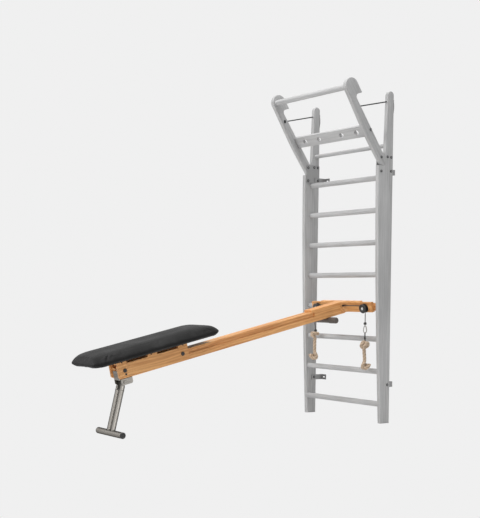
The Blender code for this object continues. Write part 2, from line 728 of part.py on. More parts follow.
def build_wall_brackets():
    """Four brackets that hold the posts off the wall, each with its own bolt."""
    for side, hand in ((-1, "left"), (1, "right")):
        for level, height in (("upper", UPPER_BRACKET_HEIGHT), ("lower", LOWER_BRACKET_HEIGHT)):
            step = PLATE_THICKNESS + SEAT if level == "upper" else 0.0
            face_x = INNER_X - SEAT - step
            back = WALL_GAP
            leg_x = face_x - BRACKET_THICKNESS
            outline = [
                (face_x, -BRACKET_OVERLAP),
                (face_x, back),
                (face_x - BRACKET_FLANGE, back),
                (face_x - BRACKET_FLANGE, back - BRACKET_THICKNESS),
                (leg_x, back - BRACKET_THICKNESS),
                (leg_x, -BRACKET_OVERLAP),
            ]
            outline = [(side * x, y) for x, y in outline]
            name = f"wall_bracket_{level}_{hand}"
            bracket = board(name, outline, BRACKET_HEIGHT, (0.0, 0.0, height), DARK_STEEL, FRAME,
                            (0.0, 0.0, 0.0))
            slot_x = side * (face_x - BRACKET_THICKNESS - (BRACKET_FLANGE - BRACKET_THICKNESS) / 2)
            slot = board(f"{name}_slot", rounded_rectangle(BRACKET_SLOT_LENGTH, BRACKET_SLOT_HEIGHT,
                                                           BRACKET_SLOT_HEIGHT / 2 - 0.0005, 4),
                         0.03, (slot_x, back, height), None, FRAME, (math.pi / 2, 0.0, 0.0))
            cut(bracket, slot)
            y = -BRACKET_BOLT_SET_BACK
            if level == "upper":
                y = -(PLATE_BACK_MARGIN + PLATE_BOLT_INSET)
            hole = bar(f"{name}_hole", BOLT_RADIUS + BOLT_CLEARANCE, POST_THICKNESS * 3,
                       (side * POST_X, y, height), "X", None, FRAME, 12)
            cut(POSTS[side], hole)
            if level == "upper":
                cut(bpy.data.objects[f"plate_{hand}"], hole)
            join(bracket, *bolt(f"{name}_bolt", side, y, height, leg_x - BOLT_HEAD_HEIGHT, OUTER_X))


# Bench

def build_rails():
    """The two rails of the beam, each with a wheel groove and a rope slot."""
    for side, name in ((-1, "rail_left"), (1, "rail_right")):
        centre = (side * RAIL_X, (RAIL_HEAD_END + RAIL_LOW_END) / 2, 0.0)
        rail = box(name, (RAIL_WIDTH, RAIL_LENGTH, RAIL_HEIGHT), centre, LIGHT_WOOD, BENCH, 0.002)
        groove = box(f"{name}_groove", (GROOVE_DEPTH * 2, GROOVE_LENGTH, GROOVE_HEIGHT),
                     (side * BEAM_HALF_WIDTH, RAIL_LOW_END + GROOVE_END + GROOVE_LENGTH / 2,
                      (GROOVE_TOP + GROOVE_BOTTOM) / 2), None, BENCH)
        rope_slot = box(f"{name}_rope_slot", (RAIL_WIDTH * 2, ROPE_SLOT_LENGTH, ROPE_SLOT_HEIGHT),
                        (side * RAIL_X, ROPE_Y, ROPE_RUN_Z), None, BENCH)
        cut(rail, groove, rope_slot)


def build_head():
    """The crossbar in front of the rung, the board that ties it to the rails, and the hooks."""
    half = HEAD_BOARD_SPAN / 2
    seat = half + SEAT
    end = HEAD_LENGTH / 2
    outline = [
        (-end, HEAD_BOTTOM), (end, HEAD_BOTTOM), (end, BEAM_TOP + HEAD_OVER), (seat, BEAM_TOP + HEAD_OVER),
        (seat, BEAM_TOP), (-seat, BEAM_TOP), (-seat, BEAM_TOP + HEAD_OVER), (-end, BEAM_TOP + HEAD_OVER),
    ]
    crossbar = board("head_crossbar", outline, HEAD_THICKNESS, (0.0, (HEAD_FRONT + HEAD_BACK) / 2, 0.0),
                     LIGHT_WOOD, BENCH, (math.pi / 2, 0.0, 0.0))
    start = BEAM_HALF_WIDTH + SEAT
    tip = start + HEAD_FILLET
    slope = math.degrees(math.acos(1.0 - HEAD_FILLET_LIP / HEAD_FILLET))
    for side in (-1, 1):
        wing = arc((tip, HEAD_FRONT - HEAD_FILLET), HEAD_FILLET, 180 - slope, 90 + slope, 8)
        wing = [(start, HEAD_FRONT - HEAD_FILLET), *wing]
        wing += [(wing[-1][0], HEAD_FRONT + HEAD_THICKNESS / 4), (start, HEAD_FRONT + HEAD_THICKNESS / 4)]
        wing = [(side * across, along) for across, along in wing]
        height = BEAM_TOP - HEAD_BOTTOM
        corner = board("head_corner", wing, height, (0.0, 0.0, BEAM_TOP - height / 2), LIGHT_WOOD, BENCH,
                       (0.0, 0.0, 0.0))
        join(crossbar, corner)
        slot = box("head_corner_slot", (HEAD_FILLET * 1.5, ROPE_SLOT_LENGTH, ROPE_SLOT_HEIGHT),
                   (side * (start + HEAD_FILLET / 2), ROPE_Y, ROPE_RUN_Z), None, BENCH)
        cut(crossbar, slot)
    waist = BEAM_HALF_WIDTH
    bar_edge = HEAD_FRONT - 0.004
    low = HEAD_BACK - HEAD_BOARD_LENGTH
    outline = [(half, HEAD_BACK), (-half, HEAD_BACK), (-half, bar_edge)]
    fillet = HEAD_FILLET
    outline += arc((-(waist + fillet), bar_edge - fillet), fillet, 90, 0, 8)
    outline += [(-waist, low), (waist, low)]
    outline += arc((waist + fillet, bar_edge - fillet), fillet, 180, 90, 8)
    outline += [(half, bar_edge)]
    board("head_board", outline, HEAD_BOARD_THICKNESS,
          (0.0, 0.0, BEAM_TOP + SEAT + HEAD_BOARD_THICKNESS / 2), LIGHT_WOOD, BENCH,
          (0.0, 0.0, 0.0), 0.002)
    outline = [(-HOOK_OUTER, -HOOK_LEAF)]
    outline += arc((0.0, 0.0), HOOK_OUTER, 180, 0, 14)
    outline += [(HOOK_OUTER, -HOOK_TAIL), (HOOK_INNER, -HOOK_TAIL)]
    outline += arc((0.0, 0.0), HOOK_INNER, 0, 180, 14)
    outline += [(-HOOK_INNER, -HOOK_LEAF)]
    for side, hand in ((-1, "left"), (1, "right")):
        board(f"hook_{hand}", outline, HOOK_WIDTH, (side * HOOK_X, 0.0, 0.0), LIGHT_WOOD, BENCH)


def build_grip():
    """The round grip under the beam."""
    z = BEAM_BOTTOM - SEAT - GRIP_RADIUS
    half = GRIP_HALF_LENGTH
    nose = GRIP_END_ROUND
    profile = [
        (0.0, half),
        (GRIP_SLEEVE_RADIUS - nose, half),
        (GRIP_SLEEVE_RADIUS - nose * 0.3, half - nose * 0.3),
        (GRIP_SLEEVE_RADIUS, half - nose),
        (GRIP_SLEEVE_RADIUS, BEAM_HALF_WIDTH + SEAT),
        (GRIP_RADIUS, BEAM_HALF_WIDTH + SEAT),
        (GRIP_RADIUS, -half + nose),
        (GRIP_RADIUS - nose * 0.3, -half + nose * 0.3),
        (GRIP_RADIUS - nose, -half),
        (0.0, -half),
    ]
    turned("under_grip", profile, (0.0, -GRIP_REACH, z), "X", DARK_PLASTIC, BENCH)


def build_pulleys():
    """A pulley block on each end of the crossbar, and the wheel between its covers."""
    back = HEAD_FRONT - SEAT
    for side, hand in ((-1, "left"), (1, "right")):
        x = side * PULLEY_X
        rear_y = back - PULLEY_COVER_THICKNESS / 2
        front_y = back - PULLEY_COVER_THICKNESS - PULLEY_GAP - PULLEY_COVER_THICKNESS / 2
        block = bar(f"pulley_block_{hand}", PULLEY_COVER_RADIUS, PULLEY_COVER_THICKNESS,
                    (x, rear_y, PULLEY_Z), "Y", BLACK_PLASTIC, BENCH, 24)
        front = bar(f"pulley_front_{hand}", PULLEY_COVER_RADIUS, PULLEY_COVER_THICKNESS,
                    (x, front_y, PULLEY_Z), "Y", None, BENCH, 24)
        axle = bar(f"pulley_axle_{hand}", PULLEY_AXLE_RADIUS, PULLEY_GAP + PULLEY_COVER_THICKNESS,
                   (x, ROPE_Y, PULLEY_Z), "Y", None, BENCH, 16)
        cap = bar(f"pulley_cap_{hand}", 0.007, 0.004,
                  (x, front_y - PULLEY_COVER_THICKNESS / 2 - 0.001, PULLEY_Z), "Y", None, BENCH, 16)
        join(block, axle, front, cap)
        half = PULLEY_GAP / 2 - PULLEY_PLAY
        bed = PULLEY_ROPE_RADIUS - ROPE_RADIUS - SEAT
        rim = bed + PULLEY_RIM
        bore = PULLEY_AXLE_RADIUS + PULLEY_PLAY
        profile = [
            (bore, half),
            (rim, half),
            (rim, half - 0.001),
            (bed, ROPE_RADIUS * 0.9),
            (bed, -ROPE_RADIUS * 0.9),
            (rim, -half + 0.001),
            (rim, -half),
            (bore, -half),
        ]
        turned(f"pulley_wheel_{hand}", profile, (x, ROPE_Y, PULLEY_Z), "Y", BLACK_PLASTIC, BENCH)


def rope_route(side):
    """Route of a rope in the bench's own frame, from the carriage to the pulley's outer side."""
    gap_z = ROPE_RUN_Z - side * ROPE_SPACING
    straight = [(0.0, -ROPE_LOW_END, gap_z), (0.0, ROPE_Y - ROPE_BEND * 3, gap_z)]
    knots = [
        (0.0, ROPE_Y - ROPE_BEND * 1.2, gap_z),
        (side * ROPE_BEND * 0.3, ROPE_Y - ROPE_BEND * 0.3, gap_z),
        (side * ROPE_BEND * 1.2, ROPE_Y, gap_z),
        (side * BEAM_HALF_WIDTH * 1.4, ROPE_Y, ROPE_RUN_Z),
        (side * (PULLEY_X - 0.01), ROPE_Y, ROPE_RUN_Z),
    ]
    route = [Vector(point) for point in straight] + smooth_route(knots, 4)
    for across, up in arc((0.0, PULLEY_Z), PULLEY_ROPE_RADIUS, 90, 0, 8):
        route.append(Vector((side * (PULLEY_X + across), ROPE_Y, up)))
    hanging = ROPE_EXIT - ROPE_RADIUS - SEAT
    route.append(route[-1] + PLUMB * hanging)
    return route


def build_ropes():
    """The hauling ropes, from the carriage through the beam and over the pulleys."""
    for side, hand in ((-1, "left"), (1, "right")):
        tube(f"rope_{hand}", rope_route(side), ROPE_RADIUS, (0.0, 0.0, 0.0), DARK_ROPE, BENCH, ROPE_SIDES)


def knot_form(name, height, parent, finish):
    """A pulled-up rope knot: an egg shape with a lump on each side, one higher than the other."""
    knot = ball(name, 1.0, (0.0, 0.0, height), finish, parent, rings=9)
    for point in knot.data.vertices:
        x, y, z = point.co
        swell = 0.80 + 0.20 * x * x
        point.co = (
            x * swell * KNOT_RADIUS,
            y * swell * KNOT_RADIUS,
            z * KNOT_HEIGHT / 2 + 0.25 * x * (1.0 - z * z) * KNOT_HEIGHT / 2,
        )
    return knot


def build_handles():
    """The hanging rope ends and their knotted handles."""
    for side, hand, drop in ((-1, "left", LEFT_BALL_DROP), (1, "right", RIGHT_BALL_DROP)):
        hang = HANGS[side]
        line = bar(f"rope_drop_{hand}", ROPE_RADIUS, drop, (0.0, 0.0, -drop / 2), "Z", DARK_ROPE, hang, 12)
        bend = ball(f"rope_bend_{hand}", ROPE_RADIUS, (0.0, 0.0, 0.0), None, hang, rings=6)
        stop = ball(f"rope_ball_{hand}", BALL_RADIUS, (0.0, 0.0, -drop), None, hang, rings=8)
        join(line, bend, stop)
        below = drop + BALL_RADIUS
        if side == 1:
            below = build_clip(hang, below)
        grip_top = below + SEAT + KNOT_HEIGHT / 2
        grip = knot_form(f"handle_{hand}", -grip_top, hang, ROPE)
        shaft_length = HANDLE_SPAN
        shaft = bar(f"handle_shaft_{hand}", HANDLE_RADIUS, shaft_length,
                    (0.0, 0.0, -grip_top - shaft_length / 2), "Z", None, hang, 14)
        shaft.rotation_euler = (0.0, 0.0, 0.07)
        low = knot_form(f"handle_low_{hand}", -grip_top - HANDLE_SPAN, hang, None)
        join(grip, shaft, low)


def build_clip(hang, below):
    """The pear-shaped spring clip under the ball and the short link that it carries."""
    half = CLIP_HEIGHT / 2
    middle = below + SEAT + half + CLIP_WIRE
    wire = []
    steps = 20
    for index in range(steps):
        angle = math.tau * index / steps
        width = CLIP_WIDTH / 2 * (1.0 - 0.28 * math.sin(angle))
        wire.append((width * math.cos(angle), 0.0, -middle + half * math.sin(angle)))
    clip = tube("clip_right", wire, CLIP_WIRE, (0.0, 0.0, 0.0), STEEL, hang, 2, closed=True)
    link_top = middle + half - CLIP_WIRE * 0.5
    link = bar("clip_link", LINK_RADIUS, LINK_LENGTH, (0.0, 0.0, -link_top - LINK_LENGTH / 2), "Z",
               None, hang, 12)
    join(clip, link)
    return link_top + LINK_LENGTH


# Leg

def build_leg():
    """The shoe under the rails, the folding leg and the foot bar."""
    top = BEAM_BOTTOM - SEAT
    shoe_y = RAIL_LOW_END + SHOE_LENGTH / 2 + 0.004
    shoe = box("leg_shoe", (SHOE_WIDTH, SHOE_LENGTH, SHOE_THICKNESS),
               (0.0, shoe_y, top - SHOE_THICKNESS / 2), STEEL, BENCH)
    for side in (-1, 1):
        cheek = board(f"shoe_cheek_{side}",
                      rounded_rectangle(SHOE_LENGTH, SHOE_DEPTH, SHOE_CORNER, 4), SHOE_THICKNESS,
                      (side * (SHOE_WIDTH - SHOE_THICKNESS) / 2, shoe_y, top - SHOE_DEPTH / 2),
                      None, BENCH)
        square = box(f"shoe_square_{side}", (SHOE_THICKNESS, SHOE_LENGTH, SHOE_DEPTH / 2),
                     (side * (SHOE_WIDTH - SHOE_THICKNESS) / 2, shoe_y, top - SHOE_DEPTH / 4),
                     None, BENCH)
        join(shoe, cheek, square)
    plate_y = RAIL_LOW_END - SEAT - SHOE_THICKNESS / 2
    end_plate = box("shoe_end_plate", (END_PLATE_WIDTH, SHOE_THICKNESS, END_PLATE_HEIGHT),
                    (END_PLATE_SHIFT, plate_y, top - SHOE_THICKNESS + END_PLATE_HEIGHT / 2), None, BENCH)
    end_tongue = box("shoe_end_tongue", (END_PLATE_WIDTH, SHOE_LENGTH / 2, SHOE_THICKNESS),
                     (END_PLATE_SHIFT, plate_y - SHOE_THICKNESS / 2 + SHOE_LENGTH / 4,
                      top - SHOE_THICKNESS / 2), None, BENCH)
    join(shoe, end_tongue, end_plate)
    pin_hole = bar("shoe_pin_hole", LEG_PIN_RADIUS + SEAT, SHOE_WIDTH * 2,
                   (0.0, -LEG_REACH, LEG_PIVOT_Z), "X", None, BENCH, 16)
    cut(shoe, pin_hole)
    pin_length = SHOE_WIDTH + SEAT * 2 + 0.004
    pin = bar("leg_pin", LEG_PIN_RADIUS, pin_length, (0.0, 0.0, 0.0), "X", STEEL, LEG, 16)
    for side in (-1, 1):
        head = bar(f"leg_pin_head_{side}", LEG_PIN_RADIUS * 1.7, 0.004,
                   (side * (SHOE_WIDTH / 2 + SEAT + 0.002), 0.0, 0.0), "X", None, LEG, 16)
        join(pin, head)
    head_width = SHOE_WIDTH - (SHOE_THICKNESS + LEG_SIDE_PLAY) * 2
    half = LEG_HEAD_THICKNESS / 2
    outline = arc((0.0, 0.0), half, 0, 180, 10)
    outline += [(-half, -LEG_HEAD_LENGTH), (half, -LEG_HEAD_LENGTH)]
    leg = board("leg_frame", outline, LEG_BLOCK_WIDTH, (0.0, 0.0, 0.0), STEEL, LEG)
    barrel = bar("leg_barrel", half - SEAT, head_width, (0.0, 0.0, 0.0), "X", None, LEG, 20)
    join(leg, barrel)
    for side in (-1, 1):
        start = LEG_HEAD_LENGTH / 2
        stile = bar(f"leg_tube_{side}", LEG_TUBE_RADIUS, LEG_LENGTH - start,
                    (side * LEG_TUBE_SPACING / 2, 0.0, -(LEG_LENGTH + start) / 2), "Z", None, LEG, 20)
        join(leg, stile)
    saddle = bar("foot_saddle", FOOT_RADIUS + SEAT, FOOT_LENGTH, (0.0, 0.0, -LEG_LENGTH), "X", None,
                 LEG, 24)
    bore = bar("leg_bore", LEG_PIN_RADIUS + SEAT, SHOE_WIDTH * 2, (0.0, 0.0, 0.0), "X", None, LEG, 16)
    cut(leg, saddle, bore)
    tube_length = FOOT_LENGTH - (FOOT_CAP_LENGTH + SEAT) * 2
    bar("foot_bar", FOOT_RADIUS, tube_length, (0.0, 0.0, -LEG_LENGTH), "X", STEEL, LEG, 24)
    for side, hand in ((-1, "left"), (1, "right")):
        x = side * (FOOT_LENGTH - FOOT_CAP_LENGTH) / 2
        bar(f"foot_cap_{hand}", FOOT_RADIUS, FOOT_CAP_LENGTH, (x, 0.0, -LEG_LENGTH), "X",
            BLACK_PLASTIC, LEG, 24)


# Carriage

def tooth_places():
    """Centres of the three teeth along the carriage."""
    end = (CHEEK_LENGTH - TOOTH_LENGTH) / 2
    return (-end, MIDDLE_TOOTH_OFFSET, end)


def wheel_places():
    """Places of the wheels along the carriage."""
    return (
        ("low", WHEEL_CENTRE_SHIFT - WHEEL_SPACING / 2),
        ("high", WHEEL_CENTRE_SHIFT + WHEEL_SPACING / 2),
    )


def cheek_outline():
    """Side outline of a cheek, with three teeth that carry the pad."""
    half = CHEEK_LENGTH / 2
    inset = half - CHEEK_CORNER
    corner_z = CHEEK_BOTTOM + CHEEK_CORNER
    points = arc((-inset, corner_z), CHEEK_CORNER, 180, 270, 5)
    points += arc((inset, corner_z), CHEEK_CORNER, 270, 360, 5)
    top = []
    for centre in tooth_places():
        low = centre - TOOTH_LENGTH / 2
        high = centre + TOOTH_LENGTH / 2
        top += [(low, CHEEK_BODY_TOP), (low, TOOTH_TOP), (high, TOOTH_TOP), (high, CHEEK_BODY_TOP)]
    return points + list(reversed(top[1:-1]))


def build_carriage():
    """Two toothed cheeks, the slats between them, four wheels, the pad board and the pad."""
    for side, name in ((-1, "cheek_left"), (1, "cheek_right")):
        cheek = board(name, cheek_outline(), CHEEK_THICKNESS, (side * CHEEK_X, 0.0, 0.0),
                      CHEEK_WOOD, CARRIAGE, edge=0.002)
        for place_name, y in wheel_places():
            bore = bar(f"{name}_bore_{place_name}", WHEEL_AXLE_RADIUS + WHEEL_PLAY,
                       CHEEK_THICKNESS * 2, (side * CHEEK_X, y, WHEEL_Z), "X", None, CARRIAGE, 16)
            cut(cheek, bore)
            build_wheel(side, place_name, y)
    for name, y in zip(("slat_low", "slat_middle", "slat_high"), tooth_places()):
        size = ((CHEEK_INNER_X - SEAT) * 2, TOOTH_LENGTH, SLAT_THICKNESS)
        box(name, size, (0.0, y, TOOTH_TOP - SLAT_THICKNESS / 2), CHEEK_WOOD, CARRIAGE, 0.0015)
    length = PAD_LENGTH - PAD_BOARD_INSET * 2
    width = PAD_WIDTH - PAD_BOARD_INSET * 2
    board("pad_board", rounded_rectangle(width, length, 0.02, 3), PAD_BOARD_THICKNESS,
          (0.0, PAD_Y, PAD_BOARD_Z), CHEEK_WOOD, CARRIAGE, (0.0, 0.0, 0.0))
    build_pad()


def build_wheel(side, place_name, y):
    """A wheel in the rail's groove, on an axle through the cheek with a cap outside it."""
    hand = "right" if side == 1 else "left"
    inner = BEAM_HALF_WIDTH - GROOVE_DEPTH + WHEEL_PLAY * 2
    flank = inner + WHEEL_THICKNESS
    cap = CHEEK_OUTER_X + WHEEL_PLAY
    profile = [
        (0.0, cap + WHEEL_CAP_HEIGHT),
        (WHEEL_CAP_RADIUS * 0.8, cap + WHEEL_CAP_HEIGHT),
        (WHEEL_CAP_RADIUS, cap + WHEEL_CAP_HEIGHT * 0.6),
        (WHEEL_CAP_RADIUS, cap),
        (WHEEL_AXLE_RADIUS, cap),
        (WHEEL_AXLE_RADIUS, flank),
        (WHEEL_RADIUS, flank),
        (WHEEL_RADIUS, inner),
        (0.0, inner),
    ]
    if side == -1:
        profile = [(radius, -height) for radius, height in reversed(profile)]
    turned(f"wheel_{place_name}_{hand}", profile, (0.0, y, WHEEL_Z), "X", BLACK_PLASTIC, CARRIAGE, 24)


def build_pad():
    """The pad: a flat base, a crowned top and sides that draw in towards the base."""
    mesh = bpy.data.meshes.new("pad")
    form = bmesh.new()
    bmesh.ops.create_cube(form, size=2.0)
    bmesh.ops.subdivide_edges(form, edges=form.edges, cuts=4, use_grid_fill=True)
    half_width = PAD_WIDTH / 2
    half_length = PAD_LENGTH / 2
    for corner in form.verts:
        u, v, w = corner.co
        spread = 1.0 - (0.10 if w < -0.9 else 0.025 if w < -0.3 else 0.0 if w < 0.5 else 0.03)
        end_spread = 1.0 - (1.0 - spread) * half_width / half_length
        crown = PAD_CROWN * (1.0 - u * u) * (1.0 - v ** 6)
        height = (w + 1.0) / 2 * (PAD_THICKNESS - PAD_CROWN)
        if w > 0.9:
            height += crown
        corner.co = (u * half_width * spread, v * half_length * end_spread, height)
    form.to_mesh(mesh)
    form.free()
    smooth(mesh, 60.0)
    pad = place("pad", mesh, BLACK_LEATHER, CARRIAGE, (0.0, PAD_Y, PAD_BASE_Z))
    soften = pad.modifiers.new("Soft", "SUBSURF")
    soften.levels = 1
    soften.render_levels = 1


clear_scene()
PARTS = bpy.data.collections.new("Wall bars")
TOOLS = bpy.data.collections.new("Tools")
bpy.context.scene.collection.children.link(PARTS)
bpy.context.scene.collection.children.link(TOOLS)

GREY_WOOD = make_finish("Grey wood", (0.50, 0.50, 0.50), 0.55)
LIGHT_WOOD = make_finish("Light wood", (0.60, 0.33, 0.15), 0.5)
CHEEK_WOOD = make_finish("Cheek wood", (0.55, 0.30, 0.14), 0.5)
DARK_STEEL = make_finish("Dark steel", (0.12, 0.12, 0.12), 0.5, 0.8)
STEEL = make_finish("Steel", (0.25, 0.23, 0.21), 0.4, 0.9)
DARK_PLASTIC = make_finish("Dark plastic", (0.10, 0.09, 0.09), 0.5)
BLACK_PLASTIC = make_finish("Black plastic", (0.03, 0.03, 0.03), 0.4)
BLACK_LEATHER = make_finish("Black leather", (0.03, 0.03, 0.03), 0.5)
DARK_ROPE = make_finish("Dark rope", (0.08, 0.06, 0.05), 0.8)
ROPE = make_finish("Rope", (0.45, 0.33, 0.20), 0.9)

FRAME = empty("frame", None, (0.0, BACK_Y, 0.0))
BENCH = empty("bench_pivot", FRAME, (BENCH_X, -RUNG_SET_BACK, PIVOT_RUNG_HEIGHT), (BENCH_SLOPE, 0.0, 0.0))
CARRIAGE = empty("carriage", BENCH, (0.0, -CARRIAGE_REACH, 0.0))
LEG = empty("leg_pivot", BENCH, (0.0, -LEG_REACH, LEG_PIVOT_Z), (-(LEG_SPLAY + BENCH_SLOPE), 0.0, 0.0))
LEG_PIVOT_HEIGHT = PIVOT_RUNG_HEIGHT + (
    Matrix.Rotation(BENCH_SLOPE, 3, "X") @ Vector((0.0, -LEG_REACH, LEG_PIVOT_Z))
).z
LEG_LENGTH = (LEG_PIVOT_HEIGHT - FOOT_RADIUS) / math.cos(LEG_SPLAY)
PLUMB = Vector((0.0, -math.sin(BENCH_SLOPE), -math.cos(BENCH_SLOPE)))
HANGS = {}
for hang_side, hang_name in ((-1, "hang_left"), (1, "hang_right")):
    rope_side = Vector((hang_side * (PULLEY_X + PULLEY_ROPE_RADIUS), ROPE_Y, PULLEY_Z))
    HANGS[hang_side] = empty(
        hang_name, BENCH, rope_side + PLUMB * ROPE_EXIT, (-BENCH_SLOPE, 0.0, 0.0)
    )
POSTS = {}
ARMS = {}

build_posts()
build_arms()
build_plates()
build_tie_rods()
build_wall_brackets()
build_rails()
build_head()
build_grip()
build_pulleys()
build_ropes()
build_handles()
build_leg()
build_carriage()
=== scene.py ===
"""Wall bars with a leaning pull-up frame and a sliding bench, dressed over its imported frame."""

import json
import math

import bmesh
import bpy
from mathutils import Matrix, Vector, noise


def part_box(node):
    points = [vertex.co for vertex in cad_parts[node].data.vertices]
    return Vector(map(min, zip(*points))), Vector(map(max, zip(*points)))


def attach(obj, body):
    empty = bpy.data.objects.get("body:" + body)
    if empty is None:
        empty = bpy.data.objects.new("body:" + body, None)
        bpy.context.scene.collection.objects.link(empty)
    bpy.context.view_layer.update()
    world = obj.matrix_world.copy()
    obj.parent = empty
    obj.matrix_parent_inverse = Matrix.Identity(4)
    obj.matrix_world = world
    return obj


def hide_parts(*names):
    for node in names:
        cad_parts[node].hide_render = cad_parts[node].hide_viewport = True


bl_info = {
    "name": "Wall bars with a sliding bench",
    "version": (1, 0, 0),
    "blender": (4, 5, 0),
    "location": "3D View > Sidebar > Wall bars",
    "description": "Builds the timber, rungs, bench, ropes, handles, leg and pad of a set of wall bars",
    "category": "Add Mesh",
}

QUARTER = math.pi / 2
ALONG_X = Matrix.Rotation(QUARTER, 4, "Y")
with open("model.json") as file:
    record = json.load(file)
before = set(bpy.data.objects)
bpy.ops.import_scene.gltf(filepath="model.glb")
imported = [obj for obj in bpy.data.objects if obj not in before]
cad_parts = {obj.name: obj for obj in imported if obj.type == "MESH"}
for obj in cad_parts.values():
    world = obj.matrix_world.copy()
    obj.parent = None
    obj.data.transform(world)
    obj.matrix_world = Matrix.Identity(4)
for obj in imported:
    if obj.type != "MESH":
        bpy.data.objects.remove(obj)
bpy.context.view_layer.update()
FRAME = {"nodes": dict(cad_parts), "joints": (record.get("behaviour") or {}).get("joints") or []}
NODES = FRAME["nodes"]
JOINTS = {joint["name"]: joint for joint in FRAME["joints"]}


def joint_place(name):
    """Where a joint is at rest."""
    return Vector(JOINTS[name]["pos_m"])


def bench_space():
    """The bench's own space: its origin on the rung, Y up the beam and Z square to it."""
    up_beam = Vector(JOINTS["carriage_slide"]["axis"])
    square = Vector((1.0, 0.0, 0.0)).cross(up_beam)
    turn = Matrix((Vector((1.0, 0.0, 0.0)), up_beam, square)).transposed()
    return Matrix.Translation(joint_place("bench_tilt")) @ turn.to_4x4()


BENCH = bench_space()
BENCH_BACK = BENCH.inverted()
BENCH_SLOPE = math.asin(JOINTS["carriage_slide"]["axis"][2])
BACK_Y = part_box("post_right")[1].y
SIDES = ((-1, "left"), (1, "right"))
LEG_SPLAY = math.radians(13.0)
# Gap between touching pieces
PLAY = 0.0003


# Sizes and finishes that a user would change

def length(name, note, value):
    """A size in metres."""
    return bpy.props.FloatProperty(name=name, description=note, default=value, unit="LENGTH", precision=4)


def turning(name, note, value):
    """An angle, given in degrees."""
    return bpy.props.FloatProperty(name=name, description=note, default=math.radians(value), subtype="ANGLE")


def colour(name, note, value):
    """A colour, in linear light."""
    return bpy.props.FloatVectorProperty(
        name=name, description=note, default=value, subtype="COLOR", size=3, min=0.0, max=1.0
    )


class TimberSizes(bpy.types.PropertyGroup):
    """Sizes of the wall frame."""

    frame_width: length("Frame width", "Width over both posts", 0.768)
    board: length("Board thickness", "Thickness of the posts and the arms", 0.029)
    post_height: length("Post height", "Height of the posts", 2.175)
    foot_depth: length("Foot depth", "Depth of a post at the floor", 0.076)
    shoulder_depth: length("Shoulder depth", "Depth of a post at its shoulder", 0.128)
    neck_depth: length("Neck depth", "Depth of a post above its shoulder", 0.068)
    neck_top: length("Neck top depth", "Depth of a post at its round top", 0.052)
    arm_end_height: length("Arm end height", "Height of the centre of an arm's round end", 1.7062)
    arm_end_radius: length("Arm end radius", "Radius of an arm's round end", 0.0217)
    arm_rear: length("Arm rear edge", "From an arm's middle line back to its rear edge", 0.0352)
    arm_middle_reach: length("Arm middle reach", "From the round end to the widest place", 0.223)
    arm_middle_front: length("Arm middle front", "From the middle line to the front edge there", 0.0256)
    arm_neck_reach: length("Arm neck reach", "From the round end to the arm's neck", 0.490)
    arm_neck_front: length("Arm neck front", "From the middle line to the front edge there", 0.0118)
    arm_head_reach: length("Arm head reach", "From the round end to the centre of the head", 0.5355)
    arm_head_radius: length("Arm head radius", "Radius of an arm's head", 0.054)
    arm_head_front: length("Arm head front", "From the middle line to the head's front", 0.0106)
    notch_reach: length("Notch reach", "From the round end to the notch under the beak", 0.4715)
    notch_round: length("Notch radius", "Radius of the hollow under the beak", 0.022)
    beak_reach: length("Beak reach", "From the round end to the tip of the beak", 0.461)
    beak_out: length("Beak projection", "How far the beak stands out from the arm's edge", 0.061)
    edge: length("Edge rounding", "Radius on the long edges of the timber", 0.003)
    lean: turning("Arm lean", "Lean of the arms from upright", 36.05)


class BenchSizes(bpy.types.PropertyGroup):
    """Sizes of the bench, its ropes, its handles and its leg."""

    pulley_gap: length("Pulley gap", "Gap between a pulley's covers", 0.0195)
    cover_radius: length("Cover radius", "Radius of a pulley's covers", 0.0305)
    cover_thickness: length("Cover thickness", "Thickness of a pulley's cover", 0.004)
    rope_turn: length("Rope turn", "Radius at which the rope goes round a pulley", 0.018)
    rope_radius: length("Rope radius", "Radius of the hauling rope", 0.0030)
    rope_low_end: length("Rope low end", "Reach of the low end of the ropes", 1.400)
    rope_exit: length("Rope exit", "Where a rope leaves its block, below the axle", 0.031)
    rope_spacing: length("Rope spacing", "Offset of each rope in the beam", 0.0035)
    right_drop: length("Right rope drop", "From the block to the ball on the right", 0.0675)
    left_drop: length("Left rope drop", "From the block to the ball on the left", 0.130)
    ball_radius: length("Ball radius", "Radius of the stop ball", 0.0105)
    clip_height: length("Clip height", "Height of the spring clip", 0.048)
    clip_width: length("Clip width", "Width of the spring clip", 0.028)
    clip_wire: length("Clip wire radius", "Radius of the clip's wire", 0.0025)
    link_length: length("Link length", "Length of the link under the clip", 0.056)
    knot_height: length("Knot height", "Height of a knot of the handles", 0.046)
    handle_span: length("Handle span", "Between the knots of a handle", 0.141)
    handle_radius: length("Handle radius", "Radius of the handle rope", 0.0118)
    facing: turning("Knot facing", "Turn of the knots about upright", 53.6)
    leg_tube: length("Leg tube radius", "Radius of a tube of the leg", 0.014)
    leg_spacing: length("Leg tube spacing", "Between the tubes of the leg", 0.045)
    leg_block: length("Leg block width", "Width of the block at the leg's head", 0.060)
    foot_radius: length("Foot radius", "Radius of the foot bar", 0.0185)
    pad_corner: length("Pad corner", "Corner radius of the pad in plan", 0.060)
    pad_cap: length("Pad swell", "How far the cover may swell", 0.012)
    pad_dome: length("Pad dome", "How far in from its edge the pad's top is rounded", 0.105)


